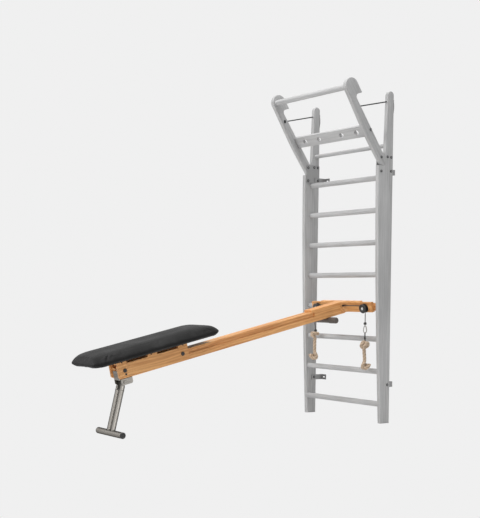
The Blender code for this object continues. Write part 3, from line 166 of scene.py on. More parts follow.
class Finishes(bpy.types.PropertyGroup):
    """Colours of the object and its stage."""

    grey_light: colour("Grey wood, light", "Light grain of the wall frame", (0.505, 0.505, 0.505))
    grey_dark: colour("Grey wood, dark", "Dark grain of the wall frame", (0.36, 0.36, 0.36))
    beam_light: colour("Bench wood, light", "Light grain of the bench", (0.84, 0.46, 0.185))
    beam_dark: colour("Bench wood, dark", "Dark grain of the bench", (0.58, 0.255, 0.085))
    cover: colour("Pad cover", "Colour of the pad's cover", (0.0075, 0.0074, 0.0074))
    zinc: colour("Zinc plate", "Plates and brackets", (0.30, 0.30, 0.30))
    painted: colour("Dark steel", "Bolts, rods and keepers", (0.018, 0.018, 0.019))
    steel: colour("Bare steel", "Leg and shoe", (0.44, 0.415, 0.38))
    plastic: colour("Black plastic", "Pulleys, wheels and caps", (0.022, 0.022, 0.021))
    sleeve: colour("Grip sleeve", "Foam of the grip under the beam", (0.085, 0.072, 0.064))
    thin_rope: colour("Thin rope", "Hauling ropes", (0.055, 0.042, 0.034))
    thick_rope: colour("Thick rope", "Rope of the handles", (0.66, 0.50, 0.355))
    hub: colour("Bright hub", "Hub caps of the pulleys and the spring clip", (0.62, 0.63, 0.61))
    stage: bpy.props.FloatProperty(
        name="Stage brightness", description="Brightness of the pale surround",
        default=0.871, min=0.0, max=1.0
    )


# Shader building blocks

NUMBER = "NodeSocketFloat"
COLOUR = "NodeSocketColor"
VECTOR = "NodeSocketVector"
GEOMETRY = "NodeSocketGeometry"
MATERIAL = "NodeSocketMaterial"
PATTERN = (("Color", COLOUR), ("Height", NUMBER), ("Roughness", NUMBER))
UNTURNED = (0.0, 0.0, 0.0)


def add(tree, kind, values=None, **settings):
    """Add a node, set its options, and fill its inputs with values or links."""
    item = tree.nodes.new(kind)
    for key, value in settings.items():
        setattr(item, key, value)
    for key, value in (values or {}).items():
        socket = item.inputs[key]
        if isinstance(value, bpy.types.NodeSocket):
            tree.links.new(value, socket)
        else:
            socket.default_value = value
    return item


def begin_group(name, kind, inputs, outputs):
    """A node group with named sockets; inputs are (name, socket type, default)."""
    tree = bpy.data.node_groups.new(name, kind)
    for label, socket_type, value in inputs:
        socket = tree.interface.new_socket(label, in_out="INPUT", socket_type=socket_type)
        if value is not None:
            socket.default_value = value
    for label, socket_type in outputs:
        tree.interface.new_socket(label, in_out="OUTPUT", socket_type=socket_type)
    entry = tree.nodes.new("NodeGroupInput")
    leave = tree.nodes.new("NodeGroupOutput")
    return tree, entry.outputs, leave.inputs


def scaled(tree, vector, factors):
    """A vector multiplied by factors."""
    item = add(tree, "ShaderNodeVectorMath", {0: vector, 1: factors}, operation="MULTIPLY")
    return item.outputs[0]


def remap(tree, value, low, high, new_low, new_high):
    """A value moved from one range to another."""
    item = add(tree, "ShaderNodeMapRange", {0: value, 1: low, 2: high, 3: new_low, 4: new_high})
    return item.outputs[0]


def combine(tree, operation, first, second):
    """Two numbers put together."""
    return add(tree, "ShaderNodeMath", {0: first, 1: second}, operation=operation).outputs[0]


def blend_colours(tree, factor, first, second, mode="MIX"):
    """A mix of two colours."""
    item = add(tree, "ShaderNodeMix", data_type="RGBA", blend_type=mode)
    for key, value in ((0, factor), (6, first), (7, second)):
        if isinstance(value, bpy.types.NodeSocket):
            tree.links.new(value, item.inputs[key])
        else:
            item.inputs[key].default_value = value
    return item.outputs[2]


def cloud(tree, vector, scale, detail, **others):
    """The outputs of a noise texture."""
    values = {"Vector": vector, "Scale": scale, "Detail": detail, **others}
    return add(tree, "ShaderNodeTexNoise", values).outputs


def seen_directly(tree):
    """One for rays that come straight from the camera, a mirror or glass, else nothing."""
    rays = add(tree, "ShaderNodeLightPath").outputs
    through = combine(tree, "MAXIMUM", rays["Is Glossy Ray"], rays["Is Transmission Ray"])
    return combine(tree, "MAXIMUM", rays["Is Camera Ray"], through)


def wood_grain_group():
    """Growth rings, long streaks and pores of planed timber, with the grain along Z."""
    tree, given, result = begin_group("Wood grain", "ShaderNodeTree", (
        ("Vector", VECTOR, None),
        ("Light", COLOUR, (0.6, 0.6, 0.6, 1.0)),
        ("Dark", COLOUR, (0.4, 0.4, 0.4, 1.0)),
        ("Rings", NUMBER, 0.5),
        ("Pores", NUMBER, 0.5),
    ), PATTERN)
    drift = scaled(tree, cloud(tree, given["Vector"], 1.7, 1.0)["Color"], (0.05, 0.05, 0.0))
    bent = add(tree, "ShaderNodeVectorMath", {0: given["Vector"], 1: drift}, operation="ADD").outputs[0]
    along = scaled(tree, bent, (1.0, 1.0, 0.045))
    rings = add(tree, "ShaderNodeTexWave", {
        "Vector": along, "Scale": 17.0, "Distortion": 7.0, "Detail": 3.0, "Detail Scale": 1.3,
    }, wave_type="RINGS", rings_direction="Z")
    streaks = cloud(tree, along, 95.0, 5.0, Roughness=0.62)["Fac"]
    pores = cloud(tree, scaled(tree, bent, (1.0, 1.0, 0.03)), 520.0, 2.0)["Fac"]
    tone = cloud(tree, scaled(tree, bent, (1.0, 1.0, 0.25)), 9.0, 2.0)["Fac"]
    ring_part = combine(tree, "MULTIPLY", rings.outputs["Fac"], given["Rings"])
    streak_part = remap(tree, streaks, 0.30, 0.70, 0.0, 0.75)
    tone_part = remap(tree, tone, 0.30, 0.70, -0.22, 0.22)
    shade = combine(tree, "ADD", combine(tree, "ADD", ring_part, streak_part), tone_part)
    base = blend_colours(tree, remap(tree, shade, 0.05, 1.05, 0.0, 1.0), given["Light"], given["Dark"])
    pit = remap(tree, pores, 0.60, 0.72, 0.0, 1.0)
    pit_part = combine(tree, "MULTIPLY", pit, given["Pores"])
    pitted = blend_colours(tree, combine(tree, "MULTIPLY", pit_part, 0.45), base, given["Dark"])
    tree.links.new(pitted, result["Color"])
    raised = combine(tree, "SUBTRACT", combine(tree, "MULTIPLY", streak_part, 0.35), pit_part)
    tree.links.new(raised, result["Height"])
    tree.links.new(remap(tree, shade, 0.0, 1.2, 0.42, 0.58), result["Roughness"])
    return tree


def mottle_group():
    """Soft patches and fine specks, for paint, plastic, foam and metal."""
    tree, given, result = begin_group("Handling marks", "ShaderNodeTree", (
        ("Vector", VECTOR, None),
        ("Color", COLOUR, (0.5, 0.5, 0.5, 1.0)),
        ("Marks", COLOUR, (0.6, 0.6, 0.6, 1.0)),
        ("Amount", NUMBER, 0.3),
        ("Low roughness", NUMBER, 0.35),
        ("High roughness", NUMBER, 0.6),
        ("Speck scale", NUMBER, 700.0),
    ), PATTERN)
    patches = cloud(tree, given["Vector"], 22.0, 4.0, Roughness=0.6)["Fac"]
    specks = cloud(tree, given["Vector"], given["Speck scale"], 2.0)["Fac"]
    patch = remap(tree, patches, 0.42, 0.75, 0.0, 1.0)
    factor = combine(tree, "MULTIPLY", patch, given["Amount"])
    tree.links.new(blend_colours(tree, factor, given["Color"], given["Marks"]), result["Color"])
    tree.links.new(specks, result["Height"])
    rough = remap(tree, patches, 0.3, 0.7, given["Low roughness"], given["High roughness"])
    tree.links.new(rough, result["Roughness"])
    return tree


def brushed_group():
    """Fine drawn lines of tube and flat bar, with the lines along Z."""
    tree, given, result = begin_group("Drawn lines", "ShaderNodeTree", (
        ("Vector", VECTOR, None),
        ("Color", COLOUR, (0.4, 0.4, 0.4, 1.0)),
        ("Stain", COLOUR, (0.2, 0.17, 0.14, 1.0)),
    ), PATTERN)
    lines = cloud(tree, scaled(tree, given["Vector"], (1.0, 1.0, 0.02)), 900.0, 3.0)["Fac"]
    stains = cloud(tree, scaled(tree, given["Vector"], (1.0, 1.0, 0.08)), 60.0, 3.0, Roughness=0.5)["Fac"]
    stain = remap(tree, stains, 0.45, 0.75, 0.0, 0.5)
    tree.links.new(blend_colours(tree, stain, given["Color"], given["Stain"]), result["Color"])
    tree.links.new(lines, result["Height"])
    drawn = remap(tree, lines, 0.3, 0.7, 0.24, 0.36)
    rough = combine(tree, "ADD", drawn, combine(tree, "MULTIPLY", stain, 0.3))
    tree.links.new(rough, result["Roughness"])
    return tree


def leather_group():
    """Pebbled grain, soft creases and handling sheen of a coated cover."""
    tree, given, result = begin_group("Cover grain", "ShaderNodeTree", (
        ("Vector", VECTOR, None),
        ("Color", COLOUR, (0.03, 0.03, 0.03, 1.0)),
        ("Worn", COLOUR, (0.06, 0.06, 0.06, 1.0)),
    ), PATTERN)
    cells = add(tree, "ShaderNodeTexVoronoi", {
        "Vector": given["Vector"], "Scale": 620.0, "Randomness": 0.9,
    }, feature="F1")
    creases = cloud(tree, given["Vector"], 26.0, 4.0, Roughness=0.55, Distortion=0.6)["Fac"]
    wear = cloud(tree, given["Vector"], 7.0, 3.0)["Fac"]
    worn = remap(tree, wear, 0.40, 0.72, 0.0, 0.8)
    tree.links.new(blend_colours(tree, worn, given["Color"], given["Worn"]), result["Color"])
    dome = remap(tree, cells.outputs["Distance"], 0.0, 0.7, 1.0, 0.0)
    height = combine(tree, "ADD", dome, combine(tree, "MULTIPLY", creases, 2.5))
    tree.links.new(height, result["Height"])
    tree.links.new(remap(tree, wear, 0.3, 0.7, 0.60, 0.48), result["Roughness"])
    return tree


def fibre_group():
    """Fine fibres along a rope's strands, with painted shade darkening the valleys between them."""
    tree, given, result = begin_group("Rope fibres", "ShaderNodeTree", (
        ("Vector", VECTOR, None),
        ("Valley shade", NUMBER, 0.0),
        ("Color", COLOUR, (0.5, 0.4, 0.3, 1.0)),
        ("Patch tone and valley shade", COLOUR, (0.2, 0.14, 0.09, 1.0)),
    ), (("Color", COLOUR), ("Height", NUMBER)))
    fibres = cloud(tree, scaled(tree, given["Vector"], (9.0, 60.0, 1.0)), 6.0, 4.0, Roughness=0.7)["Fac"]
    patches = cloud(tree, scaled(tree, given["Vector"], (1.0, 30.0, 1.0)), 3.0, 2.0)["Fac"]
    patch = remap(tree, patches, 0.3, 0.7, 0.0, 0.35)
    tinted = blend_colours(tree, patch, given["Color"], given["Patch tone and valley shade"])
    # Painted shade: the valleys between the strands are darkened toward the dark colour, which also tints
    # random patches.
    dark = combine(tree, "MULTIPLY", given["Valley shade"], 0.75)
    shade = combine(tree, "ADD", dark, remap(tree, fibres, 0.35, 0.75, 0.0, 0.3))
    tree.links.new(blend_colours(tree, shade, tinted, given["Patch tone and valley shade"]), result["Color"])
    tree.links.new(fibres, result["Height"])
    return tree


# Materials

FINISHES = {}
GROUPS = {}


def start_material(name):
    """An empty material with a Principled shader."""
    material = bpy.data.materials.new(name)
    material.use_nodes = True
    shader = material.node_tree.nodes["Principled BSDF"]
    return material, material.node_tree, shader


def relieve(tree, shader, pattern, strength, distance):
    """Bump from a group's height."""
    values = {"Strength": strength, "Distance": distance, "Height": pattern.outputs["Height"]}
    tree.links.new(add(tree, "ShaderNodeBump", values).outputs[0], shader.inputs["Normal"])


def grained(name, group, values, bump, distance, turn=UNTURNED, plain=None, edge=None, span=None):
    """A material patterned by a group; an edge colour comes in over a span of facing angles, as painted dark
    reflection where the surface turns away from view.
    """
    material, tree, shader = start_material(name)
    place = add(tree, "ShaderNodeTexCoord").outputs["Object"]
    mapped = add(tree, "ShaderNodeMapping", {"Vector": place, "Rotation": turn}).outputs[0]
    pattern = add(tree, "ShaderNodeGroup", node_tree=GROUPS[group])
    tree.links.new(mapped, pattern.inputs["Vector"])
    for key, value in values.items():
        pattern.inputs[key].default_value = value
    shade = pattern.outputs["Color"]
    # Painted dark reflection: the colour darkens toward the edge colour at grazing view angles.
    if edge is not None:
        facing = add(tree, "ShaderNodeLayerWeight", {"Blend": 0.5}).outputs["Facing"]
        shade = blend_colours(tree, remap(tree, facing, *span, 0.0, 1.0), shade, edge)
    tree.links.new(shade, shader.inputs["Base Color"])
    tree.links.new(pattern.outputs["Roughness"], shader.inputs["Roughness"])
    relieve(tree, shader, pattern, bump, distance)
    for key, value in (plain or {}).items():
        shader.inputs[key].default_value = value
    FINISHES[name] = material


def roped(name, base, strength):
    """A material of a laid rope, by the rope's own map and its mask of valleys, which paints shade into the
    valleys.
    """
    material, tree, shader = start_material(name)
    pattern = add(tree, "ShaderNodeGroup", node_tree=GROUPS["fibre"])
    tree.links.new(add(tree, "ShaderNodeUVMap", uv_map="Along").outputs[0], pattern.inputs["Vector"])
    # The valley mask paints shade into the rope's valleys.
    valley_shade = add(tree, "ShaderNodeAttribute", attribute_name="valley_shade").outputs["Fac"]
    tree.links.new(valley_shade, pattern.inputs["Valley shade"])
    pattern.inputs["Color"].default_value = solid(base)
    pattern.inputs["Patch tone and valley shade"].default_value = solid(base, 0.35)
    tree.links.new(pattern.outputs["Color"], shader.inputs["Base Color"])
    relieve(tree, shader, pattern, strength, 0.0006)
    shader.inputs["Roughness"].default_value = 0.85
    shader.inputs["Sheen Weight"].default_value = 0.25
    FINISHES[name] = material


def solid(value, factor=1.0):
    """A colour with its alpha, made lighter or darker by a factor."""
    return (*(min(1.0, part * factor) for part in value), 1.0)


def make_finishes(look, timber):
    """Every material of the object."""
    GROUPS["wood"] = wood_grain_group()
    GROUPS["marks"] = mottle_group()
    GROUPS["drawn"] = brushed_group()
    GROUPS["cover"] = leather_group()
    GROUPS["fibre"] = fibre_group()
    along_x = (0.0, QUARTER, 0.0)
    up_beam = (QUARTER - BENCH_SLOPE, 0.0, 0.0)
    matt = {"Specular IOR Level": 0.35}
    varnish = {"Coat Weight": 0.10, "Coat Roughness": 0.30, **matt}
    grey = {"Light": solid(look.grey_light), "Dark": solid(look.grey_dark), "Rings": 0.22, "Pores": 0.5}
    warm = {"Light": solid(look.beam_light), "Dark": solid(look.beam_dark), "Rings": 0.55, "Pores": 0.6}
    # A lighter copy of the bench wood for the top board, a painted highlight of its lit top.
    painted_highlight_warm = dict(warm, Light=solid(look.beam_light, 1.12), Dark=solid(look.beam_dark, 1.25))
    for name, values, bump, turn, plain in (
        ("Grey wood, upright", grey, 0.25, (0.0, 0.0, 0.35), matt),
        ("Grey wood, leaning", grey, 0.25, (-timber.lean, 0.0, 0.0), matt),
        ("Grey wood, along rungs", grey, 0.25, along_x, matt),
        ("Bench wood, up the beam", warm, 0.25, up_beam, varnish),
        ("Bench wood, across", warm, 0.25, along_x, varnish),
        ("Top board, painted highlight", painted_highlight_warm, 0.2, up_beam, varnish),
    ):
        grained(name, "wood", values, bump, 0.0004, turn, plain)
    for name, base, lift, amount, low, high, specks, bump, distance, metallic in (
        ("Dark steel", look.painted, 1.5, 0.35, 0.38, 0.58, 900.0, 0.12, 0.0003, 0.2),
        ("Zinc plate", look.zinc, 1.5, 0.35, 0.38, 0.58, 900.0, 0.12, 0.0003, 0.55),
        ("Bright steel", look.hub, 0.6, 0.4, 0.16, 0.30, 900.0, 0.05, 0.0002, 0.9),
        ("Black plastic", look.plastic, 2.5, 0.5, 0.28, 0.46, 1200.0, 0.08, 0.0002, 0.0),
        ("Foam sleeve", look.sleeve, 1.8, 0.6, 0.50, 0.75, 1500.0, 0.5, 0.0005, 0.0),
    ):
        values = {"Color": solid(base), "Marks": solid(base, lift), "Amount": amount,
                  "Low roughness": low, "High roughness": high, "Speck scale": specks}
        grained(name, "marks", values, bump, distance, plain={"Metallic": metallic})
    drawn = {"Color": solid(look.steel), "Stain": solid(look.steel, 0.45)}
    metal = {"Metallic": 0.9, "Specular Tint": (0.20, 0.20, 0.20, 1.0)}
    # The dark rim colour paints dark reflection on the grazing edges of tubes and bars.
    rim = solid(look.steel, 0.14)
    grained("Steel tube", "drawn", drawn, 0.10, 0.0002, (LEG_SPLAY, 0.0, 0.0), metal, rim, (0.08, 0.50))
    grained("Steel bar", "drawn", drawn, 0.10, 0.0002, along_x, metal, rim, (0.40, 0.92))
    cover = {"Color": solid(look.cover), "Worn": solid(look.cover, 1.7)}
    grained("Pad cover", "cover", cover, 0.22, 0.0005, plain={"Specular IOR Level": 0.16})
    roped("Thin rope", look.thin_rope, 0.5)
    roped("Thick rope", look.thick_rope, 0.9)


# Meshes

TINY = 1e-7


def smooth(mesh, angle=35.0):
    """Smooth shading, with sharp edges kept."""
    mesh.shade_smooth()
    mesh.set_sharp_from_angle(angle=math.radians(angle))


def put(name, mesh, body, finish, replaced=(), space=None, angle=35.0):
    """Put a finished mesh on a body, in place of the CAD nodes that it stands for."""
    if space is not None:
        mesh.transform(space)
    mesh.materials.clear()
    mesh.materials.append(FINISHES[finish])
    for face in mesh.polygons:
        face.material_index = 0
    smooth(mesh, angle)
    piece = bpy.data.objects.new(name, mesh)
    bpy.context.scene.collection.objects.link(piece)
    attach(piece, body)
    if replaced:
        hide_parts(*replaced)
    return piece


def dress(finish, *names):
    """Give CAD nodes a finish."""
    for name in names:
        for holder in NODES[name].material_slots:
            holder.material = FINISHES[finish]


def to_mesh(form, name):
    """A mesh from an edit mesh, with faces that point outwards."""
    bmesh.ops.recalc_face_normals(form, faces=form.faces)
    mesh = bpy.data.meshes.new(name)
    form.to_mesh(mesh)
    form.free()
    return mesh


def band(form, lower, upper):
    """A closed band of faces between two rings of vertices."""
    faces = []
    for index in range(len(lower)):
        after = (index + 1) % len(lower)
        faces.append(form.faces.new((lower[index], lower[after], upper[after], upper[index])))
    return faces


def cap(form, rings):
    """The two end faces of a row of rings."""
    form.faces.new(list(reversed(rings[0])))
    form.faces.new(rings[-1])


def arc(centre, radius, start, end, steps):
    """Points on an arc; the angles are in degrees."""
    points = []
    for index in range(steps + 1):
        angle = math.radians(start + (end - start) * index / steps)
        points.append((centre[0] + radius * math.cos(angle), centre[1] + radius * math.sin(angle)))
    return points


def plank(name, outline, thickness, middle, edge):
    """A board with a side outline of (Y, Z) points, about a middle plane in X."""
    form = bmesh.new()
    near = [form.verts.new((middle - thickness / 2, y, z)) for y, z in outline]
    far = [form.verts.new((middle + thickness / 2, y, z)) for y, z in outline]
    form.faces.new(near)
    form.faces.new(list(reversed(far)))
    count = len(outline)
    for index in range(count):
        after = (index + 1) % count
        form.faces.new((near[index], far[index], far[after], near[after]))
    bmesh.ops.recalc_face_normals(form, faces=form.faces)
    rims = [item for item in form.edges if abs(item.verts[0].co.x - item.verts[1].co.x) < TINY]
    bmesh.ops.bevel(form, geom=rims, offset=edge, segments=3, affect="EDGES", profile=0.5, clamp_overlap=True)
    bmesh.ops.triangulate(form, faces=[face for face in form.faces if len(face.verts) > 4])
    return to_mesh(form, name)


def lathe(name, profile, steps=48, space=None):
    """A turned shape about Z from (radius, height) pairs; it is closed on the axis or as a ring."""
    form = bmesh.new()
    rings = []
    for radius, height in profile:
        if radius < TINY:
            rings.append([form.verts.new((0.0, 0.0, height))])
            continue
        ring = []
        for index in range(steps):
            angle = math.tau * index / steps
            ring.append(form.verts.new((radius * math.cos(angle), radius * math.sin(angle), height)))
        rings.append(ring)
    pairs = list(zip(rings, rings[1:]))
    if profile[0][0] > TINY:
        pairs.append((rings[-1], rings[0]))
    for upper, lower in pairs:
        for index in range(steps):
            after = (index + 1) % steps
            corners = [upper[index % len(upper)], upper[after % len(upper)],
                       lower[after % len(lower)], lower[index % len(lower)]]
            corners = [corner for place, corner in enumerate(corners) if corner not in corners[:place]]
            if len(corners) > 2:
                form.faces.new(corners)
    mesh = to_mesh(form, name)
    if space is not None:
        mesh.transform(space)
    return mesh


def mirrored(profile):
    """A profile of (radius, height) pairs and its mirror image below."""
    return [*profile, *((radius, -height) for radius, height in reversed(profile))]


def join_meshes(name, meshes):
    """Several meshes as one."""
    form = bmesh.new()
    for mesh in meshes:
        form.from_mesh(mesh)
        bpy.data.meshes.remove(mesh)
    mesh = bpy.data.meshes.new(name)
    form.to_mesh(mesh)
    form.free()
    return mesh


def curve_through(knots, spacing):
    """Evenly spaced points on a smooth curve through knots."""
    points = [Vector(knot) for knot in knots]
    padded = [points[0] * 2 - points[1], *points, points[-1] * 2 - points[-2]]
    fine = []
    for index in range(1, len(padded) - 2):
        before, start, end, after = padded[index - 1:index + 3]
        for step in range(24):
            t = step / 24
            fine.append(0.5 * (
                2 * start + (end - before) * t
                + (2 * before - 5 * start + 4 * end - after) * t ** 2
                + (3 * start - before - 3 * end + after) * t ** 3
            ))
    fine.append(points[-1])
    total = sum((b - a).length for a, b in zip(fine, fine[1:]))
    count = max(2, round(total / spacing))
    step = total / count
    route = [fine[0]]
    travelled = 0.0
    target = step
    for a, b in zip(fine, fine[1:]):
        stretch = (b - a).length
        while stretch > 0 and travelled + stretch >= target - 1e-9 and len(route) < count:
            route.append(a.lerp(b, (target - travelled) / stretch))
            target += step
        travelled += stretch
    route.append(fine[-1])
    return route


def laid_rope(name, route, radius, strands, pitch, sides, depth=0.16, ends=True):
    """A rope of twisted strands along a route, with its own map and a mask of the valleys for painted shade.
    """
    form = bmesh.new()
    along_map = form.loops.layers.uv.new("Along")
    valley_shade_layer = form.verts.layers.float.new("valley_shade")
    heading = (route[1] - route[0]).normalized()
    across = heading.orthogonal().normalized()
    rings = []
    travelled = 0.0
    distances = []
    for index, point in enumerate(route):
        if index:
            travelled += (point - route[index - 1]).length
        before = route[max(index - 1, 0)]
        after = route[min(index + 1, len(route) - 1)]
        heading = (after - before).normalized()
        across = (across - heading * across.dot(heading)).normalized()
        other = heading.cross(across)
        reach = radius
        if ends:
            near_end = min(index, len(route) - 1 - index)
            reach *= (0.45, 0.8, 0.95)[near_end] if near_end < 3 else 1.0
        ring = []
        for side in range(sides):
            angle = math.tau * side / sides
            lobe = abs(math.cos((angle - math.tau * travelled / pitch) * strands / 2))
            distance = reach * (1.0 - depth + depth * lobe ** 0.6)
            vertex = form.verts.new(point + (across * math.cos(angle) + other * math.sin(angle)) * distance)
            # The mask of the valleys, used for painted shade in the rope's colour.
            vertex[valley_shade_layer] = (1.0 - lobe) ** 2
            ring.append(vertex)
        rings.append(ring)
        distances.append(travelled)
    for index, (lower, upper) in enumerate(zip(rings, rings[1:])):
        for side, face in enumerate(band(form, lower, upper)):
            places = ((side, index), (side + 1, index), (side + 1, index + 1), (side, index + 1))
            for loop, (turned, row) in zip(face.loops, places):
                loop[along_map].uv = (turned / sides, distances[row])
    cap(form, rings)
    return to_mesh(form, name)


# Geometry Nodes for what repeats

def put_out(tree, given, result, instances):
    """Make instances real, give them the material and end the tree with them."""
    real = add(tree, "GeometryNodeRealizeInstances", {"Geometry": instances})
    values = {"Geometry": real.outputs["Geometry"], "Material": given["Material"]}
    finished = add(tree, "GeometryNodeSetMaterial", values)
    tree.links.new(finished.outputs["Geometry"], result["Geometry"])
    return tree


def bars_tree():
    """Round or oval bars along X, stacked with a pitch."""
    tree, given, result = begin_group("Stacked bars", "GeometryNodeTree", (
        ("Geometry", GEOMETRY, None),
        ("Count", "NodeSocketInt", 1),
        ("Pitch", NUMBER, 0.2),
        ("Length", NUMBER, 0.7),
        ("Height", NUMBER, 0.03),
        ("Depth", NUMBER, 0.03),
        ("Material", MATERIAL, None),
    ), (("Geometry", GEOMETRY),))
    step = add(tree, "ShaderNodeCombineXYZ", {2: given["Pitch"]})
    line = {"Count": given["Count"], "Offset": step.outputs[0]}
    stack = add(tree, "GeometryNodeMeshLine", line, mode="OFFSET")
    rod = add(tree, "GeometryNodeMeshCylinder", {
        "Vertices": 56, "Radius": 0.5, "Depth": 1.0, "Side Segments": 24,
    })
    size = add(tree, "ShaderNodeCombineXYZ", {0: given["Height"], 1: given["Depth"], 2: given["Length"]})
    oval = add(tree, "GeometryNodeTransform", {
        "Geometry": rod.outputs["Mesh"], "Rotation": (0.0, QUARTER, 0.0), "Scale": size.outputs[0],
    })
    spread = add(tree, "GeometryNodeInstanceOnPoints", {
        "Points": stack.outputs["Mesh"], "Instance": oval.outputs["Geometry"],
    })
    return put_out(tree, given, result, spread.outputs["Instances"])


def fixings_tree():
    """Copies of one fixing, pointing away from a middle plane in X."""
    tree, given, result = begin_group("Side fixings", "GeometryNodeTree", (
        ("Geometry", GEOMETRY, None),
        ("Fixing", "NodeSocketObject", None),
        ("Middle", NUMBER, 0.0),
        ("Material", MATERIAL, None),
    ), (("Geometry", GEOMETRY),))
    shape = add(tree, "GeometryNodeObjectInfo", {"Object": given["Fixing"]})
    place = add(tree, "GeometryNodeInputPosition")
    parts = add(tree, "ShaderNodeSeparateXYZ", {0: place.outputs[0]})
    offset = combine(tree, "SUBTRACT", parts.outputs[0], given["Middle"])
    side = add(tree, "ShaderNodeMath", {0: offset}, operation="SIGN").outputs[0]
    turn = add(tree, "ShaderNodeCombineXYZ", {1: combine(tree, "MULTIPLY", side, QUARTER)})
    spread = add(tree, "GeometryNodeInstanceOnPoints", {
        "Points": given["Geometry"], "Instance": shape.outputs["Geometry"], "Rotation": turn.outputs[0],
    })
    return put_out(tree, given, result, spread.outputs["Instances"])


def grown(tree, points, values):
    """The plain mesh that a geometry tree makes from points."""
    seed = bpy.data.meshes.new("Seed")
    seed.from_pydata(points, [], [])
    holder = bpy.data.objects.new("Seed", seed)
    bpy.context.scene.collection.objects.link(holder)
    growth = holder.modifiers.new("Growth", "NODES")
    growth.node_group = tree
    for item in tree.interface.items_tree:
        if item.in_out == "INPUT" and item.name in values:
            growth[item.identifier] = values[item.name]
    bpy.context.view_layer.update()
    graph = bpy.context.evaluated_depsgraph_get()
    mesh = bpy.data.meshes.new_from_object(holder.evaluated_get(graph), depsgraph=graph)
    bpy.data.objects.remove(holder, do_unlink=True)
    bpy.data.meshes.remove(seed)
    return mesh


def fixings(name, head, points, middle, body, finish):
    """A piece made of one head mesh at several points, with its axis along X."""
    holder = bpy.data.objects.new("Fixing", head)
    bpy.context.scene.collection.objects.link(holder)
    mesh = grown(fixings_tree(), points, {"Fixing": holder, "Middle": middle, "Material": FINISHES[finish]})
    bpy.data.objects.remove(holder, do_unlink=True)
    return put(name, mesh, body, finish)


def socket_head(radius, height, socket):
    """A domed head with a hexagon socket, standing on Z = 0."""
    form = bmesh.new()
    profile = [
        (radius, 0.0), (radius, height * 0.45), (radius * 0.93, height * 0.72),
        (radius * 0.78, height * 0.92), (radius * 0.60, height),
    ]
    steps = 24
    rings = []
    for reach, level in profile:
        round_ring = arc((0.0, 0.0), reach, 0, 360, steps)[:steps]
        rings.append([form.verts.new((across, up, level)) for across, up in round_ring])
    for level in (height, height * 0.35):
        ring = []
        for index in range(steps):
            angle = math.tau * index / steps
            corner = (angle % (math.pi / 3)) - math.pi / 6
            reach = socket * math.cos(math.pi / 6) / math.cos(corner)
            ring.append(form.verts.new((reach * math.cos(angle), reach * math.sin(angle), level)))
        rings.append(ring)
    for lower, upper in zip(rings, rings[1:]):
        band(form, lower, upper)
    cap(form, rings)
    return to_mesh(form, "Socket head")


# Timber and ironwork of the wall frame

# Places of the bolts in side view: from the back of the posts, and up from the floor
PLATE_BOLTS = ((0.0165, 1.7435), (0.050, 1.7435), (0.1045, 1.7375), (0.1045, 1.6465))
BRACKET_BOLTS = ((0.0165, 1.652), (0.020, 0.252))
# The cross board's bolt: along the arm, and in from its rear edge
BOARD_BOLT_REACH = 0.229
BOARD_BOLT_BACK = 0.011
PLATE_INSIDE = 0.0056
BRACKET_THICKNESS = 0.004


def arm_point(timber, reach, across=0.0):
    """A point of an arm in side view; across is positive towards the wall."""
    end_y = BACK_Y - timber.neck_depth - PLAY - timber.arm_end_radius
    lean_y = -math.sin(timber.lean)
    lean_z = math.cos(timber.lean)
    level = timber.arm_end_height + reach * lean_z - across * lean_y
    return (end_y + reach * lean_y + across * lean_z, level)


def post_outline(timber):
    """Side outline of a post: a swelling front, a shoulder for the arm and a round top."""
    cradle = timber.arm_end_radius + PLAY
    shoulder = timber.arm_end_height - cradle
    points = [(BACK_Y, 0.0)]
    swelling = timber.shoulder_depth - timber.foot_depth
    steps = 40
    for index in range(steps + 1):
        share = index / steps
        depth = timber.foot_depth + swelling * math.sin(share * QUARTER)
        points.append((BACK_Y - depth, shoulder * share))
    points += arc(arm_point(timber, 0.0), cradle, 270, 360, 18)
    top = timber.neck_top / 2
    points += arc((BACK_Y - top, timber.post_height - top), top, 180, 0, 36)
    return points


def arm_outline(timber):
    """Side outline of an arm: a round lower end, flat against the neck, and a head with a beak behind it."""
    end = timber.arm_end_radius
    rear = timber.arm_rear

    def swing(reach, across, radius, start, stop, steps):
        return [arm_point(timber, *point) for point in arc((reach, across), radius, start, stop, steps)]

    points = arc(arm_point(timber, 0.0), end, math.degrees(timber.lean) + 180, 360, 30)
    points.append(arm_point(timber, (rear * math.cos(timber.lean) - end) / math.sin(timber.lean), rear))
    bend = timber.notch_round
    points += swing(timber.notch_reach - bend, rear + bend, bend, -90, 0, 12)
    tip = 0.004
    points += swing(timber.beak_reach + tip, rear + timber.beak_out - tip, tip, 180, 90, 6)
    head_across = timber.arm_head_radius - timber.arm_head_front
    points += swing(timber.arm_head_reach, head_across, timber.arm_head_radius, 90, -90, 48)
    front = curve_through((
        (timber.arm_head_reach, -timber.arm_head_front, 0.0),
        (timber.arm_neck_reach, -timber.arm_neck_front, 0.0),
        (timber.arm_middle_reach, -timber.arm_middle_front, 0.0),
        (0.0, -end, 0.0),
    ), 0.02)
    points += [arm_point(timber, point.x, point.y) for point in front[1:-1]]
    return points


def build_timber(timber):
    """Posts and arms with finely rounded edges, and the cross board."""
    middle = (timber.frame_width - timber.board) / 2
    for side, hand in SIDES:
        post = plank(f"Post {hand}", post_outline(timber), timber.board, side * middle, timber.edge)
        put(f"post_board_{hand}", post, "wall_frame", "Grey wood, upright", (f"post_{hand}",))
        arm = plank(f"Arm {hand}", arm_outline(timber), timber.board, side * middle, timber.edge)
        put(f"arm_board_{hand}", arm, "wall_frame", "Grey wood, leaning", (f"arm_{hand}",))
    dress("Grey wood, along rungs", "cross_board")


